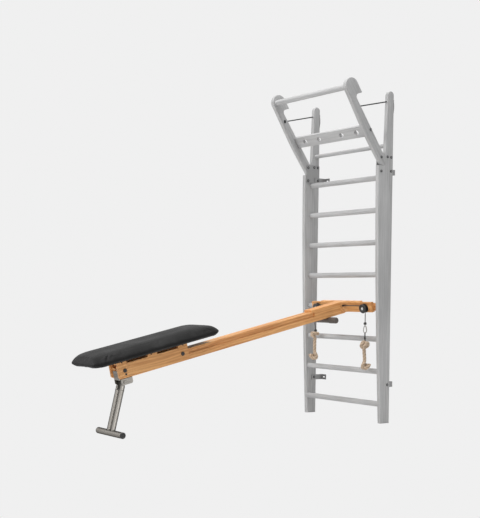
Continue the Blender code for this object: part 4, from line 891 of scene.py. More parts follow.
def build_rungs():
    """The rungs and the pull-up bar, from one tree of stacked bars."""
    tree = bars_tree()
    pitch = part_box("rung_8")[0].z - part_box("rung_9")[0].z
    sets = (
        ("rungs", "rung_9", 8, tuple(f"rung_{number}" for number in range(2, 10))),
        ("top_rung", "rung_1", 1, ("rung_1",)),
        ("pull_up_bar", "top_bar", 1, ("top_bar",)),
    )
    for name, first, count, replaced in sets:
        low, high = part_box(first)
        mesh = grown(tree, [(0.0, 0.0, 0.0)], {
            "Count": count, "Pitch": pitch, "Length": high.x - low.x, "Height": high.z - low.z,
            "Depth": high.y - low.y, "Material": FINISHES["Grey wood, along rungs"],
        })
        mesh.transform(Matrix.Translation((0.0, (low.y + high.y) / 2, (low.z + high.z) / 2)))
        put(name, mesh, "wall_frame", "Grey wood, along rungs", replaced)


def build_ironwork(timber):
    """Plates, tie rods, wall brackets and the heads and nuts of their bolts."""
    for hand in ("left", "right"):
        dress("Zinc plate", f"plate_{hand}", f"wall_bracket_upper_{hand}", f"wall_bracket_lower_{hand}")
        dress("Dark steel", f"tie_rod_{hand}")
    plates = [(BACK_Y - back, up) for back, up in PLATE_BOLTS]
    upper, lower = [(BACK_Y - back, up) for back, up in BRACKET_BOLTS]
    board_bolt = arm_point(timber, BOARD_BOLT_REACH, timber.arm_rear - BOARD_BOLT_BACK)
    face = timber.frame_width / 2 + PLAY
    inside = face - timber.board - PLATE_INSIDE
    on_bracket = inside + PLATE_INSIDE - BRACKET_THICKNESS - PLAY
    inner = [(inside, *place) for place in plates]
    inner += [(inside - BRACKET_THICKNESS, *upper), (on_bracket, *lower)]
    middle = (timber.frame_width - timber.board) / 2
    for side, hand in SIDES:
        points = [(side * face, *place) for place in (*plates, upper, lower, board_bolt)]
        points += [(side * x, y, z) for x, y, z in inner]
        head = socket_head(0.0090, 0.0044, 0.0042)
        fixings(f"bolt_heads_{hand}", head, points, side * middle, "wall_frame", "Dark steel")


# Bench

def build_beam():
    """Finishes of the rails, the crossbar and its board, the hooks and the shoe."""
    dress("Bench wood, up the beam", "rail_left", "rail_right", "cheek_left", "cheek_right")
    dress("Bench wood, across", "head_crossbar", "hook_left", "hook_right")
    dress("Bench wood, across", "slat_low", "slat_middle", "slat_high")
    # The top board's lighter wood is a painted highlight.
    dress("Top board, painted highlight", "head_board")
    # The pad board takes the black cover as if wrapped in it; the black also paints the shade in the gaps
    # between the cheeks' teeth.
    dress("Pad cover", "pad_board")
    dress("Steel bar", "leg_shoe", "leg_pin")


def in_bench(*point):
    """A point of the bench's own space, in the object's frame."""
    return BENCH @ Vector(point)


def build_grip():
    """The round grip under the beam: a tube with a thicker foam sleeve on one end."""
    low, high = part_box("under_grip")
    sleeve = (high.z - low.z) / 2
    core = sleeve - 0.0025
    half = (high.x - low.x) / 2
    start = 0.0375
    nose = 0.011
    tail = 0.010
    profile = [(0.0, half), *arc((sleeve - nose, half - nose), nose, 90, 0, 8)]
    profile += [(sleeve, start + 0.002), (sleeve - 0.0008, start), (core, start), (core, -half + 0.012)]
    profile += [*arc((core - tail, -half + tail), tail, 0, -90, 8), (0.0, -half)]
    mesh = lathe("Grip", profile, 64, ALONG_X)
    centre = Matrix.Translation((low + high) / 2)
    put("beam_grip", mesh, "bench", "Foam sleeve", ("under_grip",), centre)


def pulley_space(name):
    """The space of a pulley: its centre, with Z along the axle."""
    turn = BENCH.to_3x3().to_4x4() @ Matrix.Rotation(-QUARTER, 4, "X")
    return Matrix.Translation(joint_place(name)) @ turn


def build_pulleys(bench):
    """Pulley blocks with dished covers and a domed hub, and the grooved wheels in them."""
    gap = bench.pulley_gap / 2
    outer = bench.cover_radius
    thick = bench.cover_thickness
    for hand in ("left", "right"):
        space = pulley_space(f"sheave_{hand}_spin")
        front_face = -gap - thick
        front = [
            (0.0, front_face - 0.0030), (0.0035, front_face - 0.0028), (0.0062, front_face - 0.0018),
            (0.0072, front_face - 0.0004), (0.0100, front_face + 0.0004), (outer * 0.72, front_face + 0.0002),
            (outer * 0.90, -gap - thick * 0.80), (outer * 0.98, -gap - thick * 0.45),
            (outer, -gap - thick * 0.15), (outer * 0.99, -gap), (0.0, -gap),
        ]
        rear = [
            (0.0, gap), (outer * 0.99, gap), (outer, gap + thick * 0.2), (outer * 0.985, gap + thick),
            (0.0, gap + thick),
        ]
        axle = [(0.0, gap + 0.001), (0.004, gap + 0.001), (0.004, -gap - 0.001), (0.0, -gap - 0.001)]
        cheeks = [lathe("Front cover", front, 64), lathe("Rear cover", rear, 64), lathe("Axle", axle, 24)]
        body = join_meshes("Pulley block", cheeks)
        put(f"pulley_covers_{hand}", body, "bench", "Black plastic",
            (f"pulley_block_{hand}",), space)
        face = front_face + 0.0002
        hub = [(0.0, face - 0.0046), (0.0042, face - 0.0042), (0.0074, face - 0.0030),
               (0.0094, face - 0.0012), (0.0098, face + 0.0004), (0.0, face + 0.0004)]
        put(f"pulley_hub_{hand}", lathe("Hub cap", hub, 40), "bench", "Bright steel", (), space)
        bed = bench.rope_turn - bench.rope_radius - PLAY
        rim = bed + 0.006
        play = gap - 0.0005
        profile = [(0.0045, play), (rim - 0.0006, play), (rim, play - 0.0006)]
        for index in range(9):
            angle = math.pi * index / 8
            profile.append((rim - (rim - bed) * math.sin(angle) ** 0.7, (play - 0.0016) * math.cos(angle)))
        profile += [(rim, -play + 0.0006), (rim - 0.0006, -play), (0.0045, -play)]
        wheel = lathe("Pulley wheel", profile, 56)
        put(f"grooved_wheel_{hand}", wheel, f"sheave_{hand}", "Black plastic",
            (f"pulley_wheel_{hand}",), space)


# Thin ropes: the step along them, and their strands, pitch, sides and depth of the valleys
ROPE_SPACING = 0.0022
THIN_LAY = (3, 0.016, 12, 0.22)
THICK_LAY = (3, 0.066, 30, 0.15)


def rope_knots(bench, side):
    """Points of a hauling rope, from near the carriage round its pulley, in the bench's own space."""
    pulley = BENCH_BACK @ joint_place(f"sheave_{'right' if side == 1 else 'left'}_spin")
    bend = 0.012
    turn = bench.rope_turn
    level = pulley.z + turn
    gap_z = level - side * bench.rope_spacing
    knots = [(0.0, -bench.rope_low_end, gap_z)]
    for share in (0.25, 0.5, 0.75):
        knots.append((0.0, -bench.rope_low_end * (1 - share), gap_z))
    knots += [
        (0.0, pulley.y - bend * 3, gap_z),
        (0.0, pulley.y - bend * 1.2, gap_z),
        (side * bend * 0.3, pulley.y - bend * 0.3, gap_z),
        (side * bend * 1.2, pulley.y, gap_z),
        (side * 0.052, pulley.y, level),
        (side * (abs(pulley.x) * 0.6), pulley.y, level),
        (side * (abs(pulley.x) - 0.012), pulley.y, level),
    ]
    for across, up in arc((0.0, pulley.z), turn, 90, 0, 5):
        knots.append((side * (abs(pulley.x) + across), pulley.y, up))
    plumb = Vector((0.0, -math.sin(BENCH_SLOPE), -math.cos(BENCH_SLOPE)))
    last = Vector(knots[-1])
    knots.append(tuple(last + plumb * (bench.rope_exit * 0.5)))
    knots.append(tuple(last + plumb * (bench.rope_exit - bench.rope_radius - PLAY)))
    return knots


def build_ropes(bench):
    """The hauling ropes, and their hanging ends with a drilled stop ball."""
    for side, hand in SIDES:
        route = [BENCH @ point for point in curve_through(rope_knots(bench, side), ROPE_SPACING)]
        rope = laid_rope(f"Rope {hand}", route, bench.rope_radius, *THIN_LAY)
        put(f"hauling_rope_{hand}", rope, "bench", "Thin rope", (f"rope_{hand}",), angle=80.0)
        top = joint_place(f"hanging_{hand}_swing")
        drop = bench.right_drop
        aside = Vector()
        if side == -1:
            drop = bench.left_drop
            aside = Vector((0.003, 0.004, 0.0))
        straight = (-bench.rope_radius * 0.8, drop * 0.3, drop * 0.7)
        shifted = (drop, drop + bench.ball_radius * 0.6)
        line = [top - Vector((0.0, 0.0, below)) for below in straight]
        line += [top - Vector((0.0, 0.0, below)) + aside for below in shifted]
        fall = laid_rope(f"Fall {hand}", curve_through(line, ROPE_SPACING), bench.rope_radius, *THIN_LAY)
        put(f"hanging_rope_{hand}", fall, f"hanging_{hand}", "Thin rope",
            (f"rope_drop_{hand}",), angle=80.0)
        bore = bench.rope_radius * 1.15
        half_round = arc((0.0, 0.0), bench.ball_radius, 0, 180, 16)
        round_side = [(reach, level) for level, reach in half_round if reach > bore * 1.2]
        mouth = round_side[0][1]
        profile = [(bore, mouth * 0.90), (bore * 1.1, mouth), *round_side]
        profile += [(bore * 1.1, -mouth), (bore, -mouth * 0.90)]
        place = Matrix.Translation(top - Vector((0.0, 0.0, drop)) + aside)
        put(f"stop_ball_{hand}", lathe("Stop ball", profile, 40), f"hanging_{hand}", "Black plastic",
            (), place)


def wire_tube(name, route, radius, sides=16, closed=False):
    """A smooth round wire along a route."""
    form = bmesh.new()
    count = len(route)
    across = (route[1] - route[0]).orthogonal().normalized()
    rings = []
    for index, point in enumerate(route):
        before = route[index - 1] if closed or index else route[0]
        after = route[(index + 1) % count] if closed else route[min(index + 1, count - 1)]
        heading = (after - before).normalized()
        across = (across - heading * across.dot(heading)).normalized()
        other = heading.cross(across)
        rings.append([
            form.verts.new(point + (across * math.cos(math.tau * side / sides)
                                    + other * math.sin(math.tau * side / sides)) * radius)
            for side in range(sides)
        ])
    pairs = list(zip(rings, rings[1:]))
    if closed:
        pairs.append((rings[-1], rings[0]))
    for lower, upper in pairs:
        band(form, lower, upper)
    if not closed:
        cap(form, rings)
    return to_mesh(form, name)


def build_clip(bench):
    """The spring clip: a pear-shaped wire with a hinged gate, and the dark link that it carries."""
    top = joint_place("hanging_right_swing")
    below = bench.right_drop + bench.ball_radius
    half = bench.clip_height / 2
    middle = top - Vector((0.0, 0.0, below + PLAY + half + bench.clip_wire))
    loop = []
    count = 72
    for index in range(count):
        angle = math.tau * index / count
        width = bench.clip_width / 2 * (1.0 - 0.28 * math.sin(angle))
        loop.append(middle + Vector((width * math.cos(angle), 0.0, half * math.sin(angle))))
    wire = wire_tube("Clip wire", loop, bench.clip_wire, 16, True)
    gate = wire_tube("Clip gate", loop[66:72] + loop[0:10], bench.clip_wire * 1.22, 16)
    across = Matrix.Translation(loop[9]) @ Matrix.Rotation(QUARTER, 4, "X")
    hinge = lathe("Clip hinge", mirrored(((0.0, 0.0037), (0.0022, 0.0037), (0.0026, 0.0030))), 24, across)
    nose_side = mirrored(((0.0, 0.0032), (0.0020, 0.0030), (0.0034, 0.0012)))
    nose = lathe("Clip nose", nose_side, 24, Matrix.Translation(loop[66]))
    clip = join_meshes("Spring clip", [wire, gate, hinge, nose])
    put("spring_clip", clip, "hanging_right", "Steel tube", ("clip_right",))
    link_top = middle.z - half + bench.clip_wire * 0.5
    strap = []
    for index in range(40):
        angle = math.tau * index / 40
        straight = bench.link_length / 2 - 0.005
        if math.sin(angle) <= 0:
            straight = -straight
        level = link_top - bench.link_length / 2 + straight + 0.0045 * math.sin(angle)
        strap.append(Vector((middle.x + 0.0040 * math.cos(angle), middle.y, level)))
    link = wire_tube("Link", strap, 0.0021, 12, True)
    low_on_link = Matrix.Translation((middle.x, middle.y, link_top - bench.link_length * 0.62))
    collar_side = mirrored(((0.0, 0.009), (0.0052, 0.009), (0.0062, 0.007)))
    collar = lathe("Link collar", collar_side, 28, low_on_link)
    put("clip_link", join_meshes("Link", [link, collar]), "hanging_right", "Black plastic")


# Knots of the handles, in millimetres about each knot's centre: across, away from the room, and up

LOOPED_KNOT = (
    (-3, 0, -48), (-4, -2, -30), (-8, -10, -14), (2, -13, 2), (13, -8, 16), (21, 2, 12), (19, 10, -2),
    (6, 13, -12), (-10, 10, -14), (-21, 1, -8), (-21, -4, 6), (-12, -3, 19), (2, 4, 20), (10, 8, 12),
)
TURBAN_KNOT = (
    (0, 0, -46), (1, 0, -28), (-6, -8, -14), (-19, -6, -6), (-17, 8, -1), (2, 15, 2), (19, 7, 5), (18, -8, 8),
    (0, -15, 9), (-17, -9, 9), (-17, 6, 9), (-2, 11, 8), (10, 4, 6),
)
TAILED_KNOT = (
    (0, 0, 46), (-1, 0, 28), (-8, -9, 12), (-13, -8, -3), (-2, -10, -14), (14, -8, -11), (22, 2, -2),
    (12, 12, 4), (-6, 12, 0), (-12, 4, -11), (2, 1, -17), (16, 0, -12), (28, -6, 2), (32, -6, 15),
)
# STRAP: the link's dark strap into the looped knot, also a dark stand-in for the shade in the knot's eye.
STRAP = ((0, 0, 37), (0, 1, 30), (-2, 2, 22), (-7, 2, 12), (-12, 0, 2))


def knot_route(centre, points, facing, mirror=1):
    """A knot's points in the object's frame."""
    turn = Matrix.Rotation(facing, 3, "Z")
    return [centre + turn @ Vector((across * mirror, away, up)) / 1000 for across, away, up in points]


def build_handles(bench):
    """The knotted rope handles: a knot below the rope's end, a shaft, and a stopper knot with a tail."""
    for side, hand, body in ((-1, "left", "hanging_left"), (1, "right", "swivel_right")):
        top = joint_place(f"hanging_{hand}_swing")
        below = bench.left_drop + bench.ball_radius
        form = TURBAN_KNOT
        lift = 0.006
        if side == 1:
            below = bench.right_drop + bench.ball_radius
            below += PLAY + bench.clip_height + bench.clip_wire * 0.5 + bench.link_length
            form = LOOPED_KNOT
            lift = -0.004
        middle = top - Vector((0.0, 0.0, below + PLAY + bench.knot_height / 2))
        upper = middle + Vector((0.0, 0.0, lift))
        lower = middle - Vector((0.0, 0.0, bench.handle_span - side * 0.003))
        knots = list(reversed(knot_route(upper, form, bench.facing)))
        knots += knot_route(lower, TAILED_KNOT, bench.facing, side)
        route = curve_through(knots, 0.0016)
        rope = laid_rope(f"Handle {hand}", route, bench.handle_radius, *THICK_LAY)
        put(f"knotted_handle_{hand}", rope, body, "Thick rope", (f"handle_{hand}",),
            angle=80.0)
        if side == 1:
            # The dark strap carries the link down into the knot; it also stands in for the shade in the
            # knot's eye.
            strap = curve_through(knot_route(upper, STRAP, bench.facing), 0.002)
            put("knot_strap", wire_tube("Strap", strap, 0.0030, 14), body, "Black plastic")


# Leg

def weld_bead(bench, side, level, dip):
    """A rippled bead round one tube of the leg, lower at the tube's sides by the dip."""
    steps = 48
    route = []
    for index in range(steps):
        angle = math.tau * index / steps
        reach = bench.leg_tube + 0.0006 + 0.0004 * math.sin(angle * 16.0)
        across = side * bench.leg_spacing / 2 + reach * math.cos(angle)
        route.append(Vector((across, reach * math.sin(angle), level - dip * math.sin(angle) ** 2)))
    return wire_tube("Weld bead", route, 0.0017, 8, True)


def build_leg(bench):
    """The folding leg: a pivot block, two tubes with weld beads, and the foot bar with its end caps."""
    pivot = joint_place("leg_fold")
    low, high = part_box("foot_bar")
    foot = Vector((pivot.x, (low.y + high.y) / 2, (low.z + high.z) / 2))
    down = (foot - pivot).normalized()
    reach = (foot - pivot).length
    across = Vector((1.0, 0.0, 0.0))
    turn = Matrix((across, (-down).cross(across), -down)).transposed().to_4x4()
    radius = bench.foot_radius
    half = 0.011
    block_end = 0.050
    head = [*arc((0.0, 0.0), half, 0, 180, 24), (-half, -block_end), (half, -block_end)]
    parts = [plank("Leg block", head, bench.leg_block, 0.0, 0.0015)]
    barrel_half = 0.0363
    barrel = mirrored((
        (0.0, barrel_half), (half - 0.0015, barrel_half), (half - PLAY, barrel_half - 0.001),
    ))
    parts.append(lathe("Leg barrel", barrel, 40, ALONG_X))
    tube_top = -0.024
    tube_end = -reach + 0.010
    tube = [(0.0, tube_top), (bench.leg_tube, tube_top), (bench.leg_tube, tube_end), (0.0, tube_end)]
    for side in (-1, 1):
        shift = Matrix.Translation((side * bench.leg_spacing / 2, 0.0, 0.0))
        parts.append(lathe("Leg tube", tube, 56, shift))
        parts.append(weld_bead(bench, side, -0.0505, 0.0))
        parts.append(weld_bead(bench, side, -reach + radius * 0.93, radius * 0.30))
    put("leg_tubes", join_meshes("Leg", parts), "leg", "Steel tube", ("leg_frame",),
        Matrix.Translation(pivot) @ turn)
    span = (high.x - low.x) / 2
    bar = mirrored(((0.0, span), (radius - 0.0008, span), (radius, span - 0.0008)))
    centre = Matrix.Translation(foot + Vector(((low.x + high.x) / 2 - pivot.x, 0.0, 0.0)))
    foot_tube = lathe("Foot tube", bar, 64, ALONG_X)
    put("foot_tube", foot_tube, "leg", "Steel bar", ("foot_bar",), centre)
    for side, hand in SIDES:
        start = span + PLAY
        end = span + 0.0083
        profile = [
            (0.0, end - 0.0022), (radius * 0.50, end - 0.0022), (radius * 0.58, end - 0.0006),
            (radius * 0.74, end - 0.0001), (radius * 0.90, end - 0.0012), (radius, end - 0.0036),
            (radius, start), (0.0, start),
        ]
        if side == -1:
            profile = [(out, -level) for out, level in reversed(profile)]
        put(f"foot_plug_{hand}", lathe("Foot plug", profile, 56, ALONG_X), "leg", "Black plastic",
            (f"foot_cap_{hand}",), centre)


# Carriage

def build_wheels():
    """The wheels in the rails' grooves, each with a ribbed cap outside its cheek."""
    middle = joint_place("bench_tilt").x
    for level in ("low", "high"):
        for side, hand in SIDES:
            node = f"wheel_{level}_{hand}"
            low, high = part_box(node)
            inner = min(abs(low.x - middle), abs(high.x - middle))
            outer = max(abs(low.x - middle), abs(high.x - middle))
            profile = [
                (0.0, outer - 0.0014), (0.0036, outer - 0.0014), (0.0044, outer), (0.0096, outer),
                (0.0116, outer - 0.0010), (0.0120, outer - 0.0026), (0.0120, outer - 0.0048),
                (0.0050, outer - 0.0050), (0.0050, inner + 0.0086), (0.0122, inner + 0.0085),
                (0.0131, inner + 0.0076), (0.0131, inner + 0.0009), (0.0122, inner), (0.0, inner),
            ]
            if side == -1:
                profile = [(radius, -height) for radius, height in reversed(profile)]
            centre = Vector((middle, (low.y + high.y) / 2, (low.z + high.z) / 2))
            mesh = lathe("Wheel", profile, 48, ALONG_X)
            put(f"roller_{level}_{hand}", mesh, f"roller_{level}_{hand}", "Black plastic",
                (node,), Matrix.Translation(centre))


def build_screws():
    """Screws through the cheeks' teeth, and a small bolt under each low wheel."""
    middle = joint_place("bench_tilt").x
    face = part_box("cheek_right")[1].x + 0.0002 - middle
    low_tooth = (BENCH_BACK @ joint_place("roller_low_right_spin")).y
    high_tooth = (BENCH_BACK @ joint_place("roller_high_right_spin")).y
    points = []
    for side in (-1, 1):
        points.append(tuple(in_bench(side * face, low_tooth - 0.012, 0.064)))
        points.append(tuple(in_bench(side * face, high_tooth + 0.012, 0.064)))
        points.append(tuple(in_bench(side * face, (low_tooth + high_tooth) / 2 - 0.012, 0.064)))
    fixings("cheek_screws", socket_head(0.0042, 0.0014, 0.0022), points, middle, "carriage", "Dark steel")
    points = [tuple(in_bench(side * face, low_tooth + 0.004, -0.0085)) for side in (-1, 1)]
    fixings("cheek_bolts", socket_head(0.0062, 0.0030, 0.0030), points, middle, "carriage", "Black plastic")


# Pad

def pad_slab(bench, half_width, half_length, base, top):
    """A slab that is widest low down and domed above, in the bench's own space."""
    form = bmesh.new()
    levels = [(0.0, 0.026), (0.06, 0.012), (0.14, 0.004)]
    for index in range(13):
        angle = QUARTER * index / 12
        levels.append((0.26 + 0.74 * math.sin(angle), bench.pad_dome * (1.0 - math.cos(angle))))
    rings = []
    for share, inset in levels:
        wide = half_width - inset
        long = half_length - inset * 1.35
        corner = bench.pad_corner - inset * 0.25
        height = base + (top - base) * share
        ring = []
        for quarter, (side, end) in enumerate(((1, 1), (-1, 1), (-1, -1), (1, -1))):
            centre = (side * (wide - corner), end * (long - corner))
            for across, up in arc(centre, corner, quarter * 90, quarter * 90 + 90, 10):
                ring.append(form.verts.new((across, up, height)))
        rings.append(ring)
    for lower, upper in zip(rings, rings[1:]):
        band(form, lower, upper)
    cap(form, rings)
    return to_mesh(form, "Pad slab")


def build_pad(bench):
    """The pad: a closed slab, remeshed, blown up as cloth, flat on its board and stretched to its size."""
    corners = [BENCH_BACK @ vertex.co for vertex in NODES["pad"].data.vertices]
    half_width = max(point.x for point in corners)
    low_end = min(point.y for point in corners)
    high_end = max(point.y for point in corners)
    base = min(point.z for point in corners)
    top = max(point.z for point in corners)
    middle = (low_end + high_end) / 2
    half_length = (high_end - low_end) / 2
    inset = 0.004
    slab = pad_slab(bench, half_width - inset, half_length - inset, base, top - 0.006)
    pad = bpy.data.objects.new("pad_cushion", slab)
    bpy.context.scene.collection.objects.link(pad)
    remesh = pad.modifiers.new("Even faces", "REMESH")
    remesh.mode = "VOXEL"
    remesh.voxel_size = 0.006
    settle(pad)
    before = [vertex.co.copy() for vertex in pad.data.vertices]
    inflate(pad)
    cap = bench.pad_cap
    for vertex, start in zip(pad.data.vertices, before):
        move = vertex.co - start
        if move.length > cap:
            move *= cap / move.length
        place = start + move
        if start.z < base + 0.002 or place.z < base:
            place.z = base
        vertex.co = place
    for vertex in pad.data.vertices:
        height = (vertex.co.z - base) / (top - base)
        if 0.03 < height < 0.62:
            rim = math.sin(math.pi * (height - 0.03) / 0.59)
            fold = noise.noise(Vector((vertex.co.x * 34.0, vertex.co.y * 34.0, vertex.co.z * 6.0)))
            outward = Vector((vertex.co.x / half_width, (vertex.co.y / half_length) ** 7, 0.0))
            vertex.co += outward * fold * rim * 0.0022
    finer = pad.modifiers.new("Smooth cover", "SUBSURF")
    finer.levels = 1
    finer.render_levels = 1
    settle(pad)
    wide = max(abs(vertex.co.x) for vertex in pad.data.vertices)
    long = max(abs(vertex.co.y) for vertex in pad.data.vertices)
    fit = Matrix.Diagonal((half_width * 0.997 / wide, half_length * 0.998 / long, 1.0, 1.0))
    pad.data.transform(Matrix.Translation((0.0, middle, 0.0)) @ fit)
    mesh = pad.data.copy()
    bpy.data.objects.remove(pad, do_unlink=True)
    cushion = put("pad_cushion", mesh, "carriage", "Pad cover", ("pad",), BENCH, 180.0)


def settle(piece):
    """Swap a piece's mesh for its evaluated mesh and clear its modifiers."""
    bpy.context.view_layer.update()
    graph = bpy.context.evaluated_depsgraph_get()
    mesh = bpy.data.meshes.new_from_object(piece.evaluated_get(graph), depsgraph=graph)
    piece.modifiers.clear()
    piece.data = mesh


def inflate(piece):
    """Blow a closed mesh up as cloth for twenty frames and keep the result."""
    scene = bpy.context.scene
    cloth = piece.modifiers.new("Cover", "CLOTH")
    cloth.settings.quality = 5
    cloth.settings.mass = 0.3
    cloth.settings.tension_stiffness = 15.0
    cloth.settings.compression_stiffness = 15.0
    cloth.settings.shear_stiffness = 5.0
    cloth.settings.bending_stiffness = 0.5
    cloth.settings.use_pressure = True
    cloth.settings.uniform_pressure_force = 4.0
    cloth.settings.effector_weights.gravity = 0.0
    for frame in range(1, 21):
        scene.frame_set(frame)
    settle(piece)
    scene.frame_set(1)


# Stage

# Each lamp: its name, place, diameter in metres and power in watts
LAMPS = (
    ("Front light", (-2.6, -4.6, 3.0), 2.6, 105.0),
    ("Top light", (0.6, -0.6, 6.6), 3.6, 290.0),
    ("Side light", (4.4, -1.6, 0.5), 2.4, 22.0),
)
SURROUND_STRENGTH = 0.42
# The camera: its place from the posts' back, its yaw, pitch and roll, and its picture in pixels
CAMERA_PLACE = (5.159, -4.752, 0.800)
CAMERA_TURN = (0.9353, -0.0035, 0.0154)
PICTURE_WIDTH = 480
PICTURE_HEIGHT = 518
FOCAL_PIXELS = 1014.5
HORIZON_ROW = 302.54
SENSOR = 36.0


def build_stage(look):
    """The pale floor and surround, the soft lights and the camera."""
    scene = bpy.context.scene
    scene.view_settings.view_transform = "Standard"
    level = look.stage
    material = bpy.data.materials.new("Pale floor")
    material.use_nodes = True
    tree = material.node_tree
    tree.nodes.clear()
    seen = seen_directly(tree)
    paint = add(tree, "ShaderNodeBsdfDiffuse", {"Color": (level, level, level, 1.0)})
    glow = add(tree, "ShaderNodeEmission", {"Color": (level, level, level, 1.0), "Strength": 1.0})
    mixed = add(tree, "ShaderNodeMixShader", {0: seen, 1: paint.outputs[0], 2: glow.outputs[0]})
    add(tree, "ShaderNodeOutputMaterial", {"Surface": mixed.outputs[0]})
    form = bmesh.new()
    bmesh.ops.create_grid(form, x_segments=2, y_segments=2, size=14.0)
    floor_mesh = bpy.data.meshes.new("Floor")
    form.to_mesh(floor_mesh)
    form.free()
    floor_mesh.materials.append(material)
    floor = bpy.data.objects.new("Floor", floor_mesh)
    floor.location = (0.0, 0.0, -0.0005)
    scene.collection.objects.link(floor)

    world = bpy.data.worlds.new("Surround")
    scene.world = world
    world.use_nodes = True
    tree = world.node_tree
    tree.nodes.clear()
    seen = seen_directly(tree)
    strength = remap(tree, seen, 0.0, 1.0, SURROUND_STRENGTH, level)
    back = add(tree, "ShaderNodeBackground", {"Color": (1.0, 1.0, 1.0, 1.0), "Strength": strength})
    add(tree, "ShaderNodeOutputWorld", {"Surface": back.outputs[0]})

    centre = Vector((0.0, 0.0, 0.8))
    for name, place, size, power in LAMPS:
        light = bpy.data.lights.new(name, "AREA")
        light.shape = "DISK"
        light.size = size
        light.energy = power
        lamp = bpy.data.objects.new(name, light)
        lamp.location = place
        lamp.rotation_euler = (centre - Vector(place)).to_track_quat("-Z", "Y").to_euler()
        scene.collection.objects.link(lamp)

    lens = bpy.data.cameras.new("Camera")
    lens.sensor_fit = "HORIZONTAL"
    lens.sensor_width = SENSOR
    lens.lens = FOCAL_PIXELS * SENSOR / PICTURE_WIDTH
    lens.shift_y = (HORIZON_ROW - PICTURE_HEIGHT / 2) / PICTURE_WIDTH
    lens.clip_end = 60.0
    camera = bpy.data.objects.new("Camera", lens)
    scene.collection.objects.link(camera)
    yaw, pitch, roll = CAMERA_TURN
    forward = Vector((-math.sin(yaw) * math.cos(pitch), math.cos(yaw) * math.cos(pitch), math.sin(pitch)))
    right = Vector((math.cos(yaw), math.sin(yaw), 0.0))
    up = right.cross(forward)
    right_rolled = right * math.cos(roll) + up * math.sin(roll)
    up_rolled = up * math.cos(roll) - right * math.sin(roll)
    across, away, up_high = CAMERA_PLACE
    turn = Matrix((right_rolled, up_rolled, -forward)).transposed().to_4x4()
    camera.matrix_world = Matrix.Translation((across, BACK_Y + away, up_high)) @ turn
    scene.camera = camera


# Operators, panel and registration

class WALLBARS_OT_finishes(bpy.types.Operator):
    """Make the wood, steel, plastic, rope and cover materials"""

    bl_idname = "wallbars.finishes"
    bl_label = "Finishes"

    def execute(self, context):
        make_finishes(context.scene.wallbars_finishes, context.scene.wallbars_timber)
        return {"FINISHED"}


class WALLBARS_OT_timber(bpy.types.Operator):
    """Build the posts and the leaning arms"""

    bl_idname = "wallbars.timber"
    bl_label = "Posts and arms"

    def execute(self, context):
        build_timber(context.scene.wallbars_timber)
        return {"FINISHED"}


class WALLBARS_OT_rungs(bpy.types.Operator):
    """Build the rungs and the pull-up bar"""

    bl_idname = "wallbars.rungs"
    bl_label = "Rungs and bars"

    def execute(self, context):
        build_rungs()
        return {"FINISHED"}


class WALLBARS_OT_ironwork(bpy.types.Operator):
    """Finish the plates, rods and brackets and add bolt heads"""

    bl_idname = "wallbars.ironwork"
    bl_label = "Plates and bolts"

    def execute(self, context):
        build_ironwork(context.scene.wallbars_timber)
        return {"FINISHED"}


class WALLBARS_OT_beam(bpy.types.Operator):
    """Finish the beam, its crossbar and the carriage boards"""

    bl_idname = "wallbars.beam"
    bl_label = "Beam"

    def execute(self, context):
        build_beam()
        return {"FINISHED"}


class WALLBARS_OT_grip(bpy.types.Operator):
    """Build the grip under the beam"""

    bl_idname = "wallbars.grip"
    bl_label = "Grip"

    def execute(self, context):
        build_grip()
        return {"FINISHED"}


class WALLBARS_OT_pulleys(bpy.types.Operator):
    """Build the pulley blocks and their wheels"""

    bl_idname = "wallbars.pulleys"
    bl_label = "Pulleys"

    def execute(self, context):
        build_pulleys(context.scene.wallbars_bench)
        return {"FINISHED"}


class WALLBARS_OT_ropes(bpy.types.Operator):
    """Lay the hauling ropes and hang their ends"""

    bl_idname = "wallbars.ropes"
    bl_label = "Ropes"

    def execute(self, context):
        build_ropes(context.scene.wallbars_bench)
        return {"FINISHED"}


class WALLBARS_OT_clip(bpy.types.Operator):
    """Build the spring clip and its link"""

    bl_idname = "wallbars.clip"
    bl_label = "Spring clip"

    def execute(self, context):
        build_clip(context.scene.wallbars_bench)
        return {"FINISHED"}


class WALLBARS_OT_handles(bpy.types.Operator):
    """Tie the knotted rope handles"""

    bl_idname = "wallbars.handles"
    bl_label = "Handles"

    def execute(self, context):
        build_handles(context.scene.wallbars_bench)
        return {"FINISHED"}


class WALLBARS_OT_leg(bpy.types.Operator):
    """Build the folding leg and its foot bar"""

    bl_idname = "wallbars.leg"
    bl_label = "Leg"

    def execute(self, context):
        build_leg(context.scene.wallbars_bench)
        return {"FINISHED"}


class WALLBARS_OT_wheels(bpy.types.Operator):
    """Build the carriage wheels"""

    bl_idname = "wallbars.wheels"
    bl_label = "Wheels"

    def execute(self, context):
        build_wheels()
        return {"FINISHED"}


class WALLBARS_OT_screws(bpy.types.Operator):
    """Drive the screws of the carriage cheeks"""

    bl_idname = "wallbars.screws"
    bl_label = "Screws"

    def execute(self, context):
        build_screws()
        return {"FINISHED"}


class WALLBARS_OT_pad(bpy.types.Operator):
    """Blow up the pad's cover"""

    bl_idname = "wallbars.pad"
    bl_label = "Pad"

    def execute(self, context):
        build_pad(context.scene.wallbars_bench)
        return {"FINISHED"}


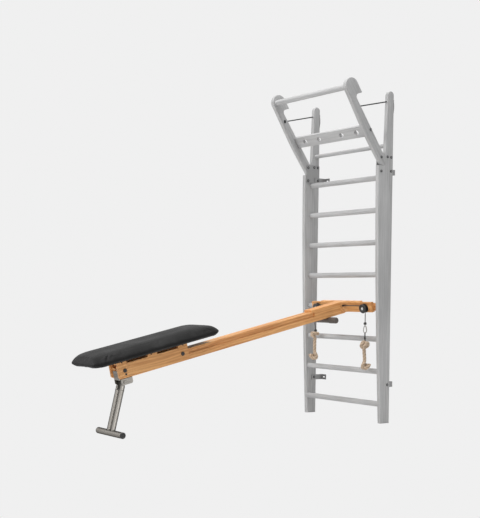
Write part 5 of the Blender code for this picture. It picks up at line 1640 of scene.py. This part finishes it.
class WALLBARS_OT_stage(bpy.types.Operator):
    """Set the floor, the lights and the camera"""

    bl_idname = "wallbars.stage"
    bl_label = "Stage"

    def execute(self, context):
        build_stage(context.scene.wallbars_finishes)
        return {"FINISHED"}


OPERATORS = (
    WALLBARS_OT_finishes, WALLBARS_OT_timber, WALLBARS_OT_rungs, WALLBARS_OT_ironwork, WALLBARS_OT_beam,
    WALLBARS_OT_grip, WALLBARS_OT_pulleys, WALLBARS_OT_ropes, WALLBARS_OT_clip, WALLBARS_OT_handles,
    WALLBARS_OT_leg, WALLBARS_OT_wheels, WALLBARS_OT_screws, WALLBARS_OT_pad, WALLBARS_OT_stage,
)


class WALLBARS_PT_panel(bpy.types.Panel):
    """Buttons for each group of pieces, and the sizes and colours behind them"""

    bl_label = "Wall bars"
    bl_space_type = "VIEW_3D"
    bl_region_type = "UI"
    bl_category = "Wall bars"

    def draw(self, context):
        column = self.layout.column(align=True)
        for operator in OPERATORS:
            column.operator(operator.bl_idname)
        scene = context.scene
        for holder in (scene.wallbars_timber, scene.wallbars_bench, scene.wallbars_finishes):
            box = self.layout.box()
            for key in holder.__annotations__:
                box.prop(holder, key)


CLASSES = (TimberSizes, BenchSizes, Finishes, *OPERATORS, WALLBARS_PT_panel)


def register():
    """Register the classes and hang the sizes on the scene."""
    for item in CLASSES:
        bpy.utils.register_class(item)
    bpy.types.Scene.wallbars_timber = bpy.props.PointerProperty(type=TimberSizes)
    bpy.types.Scene.wallbars_bench = bpy.props.PointerProperty(type=BenchSizes)
    bpy.types.Scene.wallbars_finishes = bpy.props.PointerProperty(type=Finishes)


def unregister():
    """Take the sizes and the classes away again."""
    del bpy.types.Scene.wallbars_finishes
    del bpy.types.Scene.wallbars_bench
    del bpy.types.Scene.wallbars_timber
    for item in reversed(CLASSES):
        bpy.utils.unregister_class(item)


def main():
    """Build everything."""
    register()
    for operator in OPERATORS:
        getattr(bpy.ops.wallbars, operator.bl_idname.split(".")[1])()


if __name__ == "__main__":
    main()
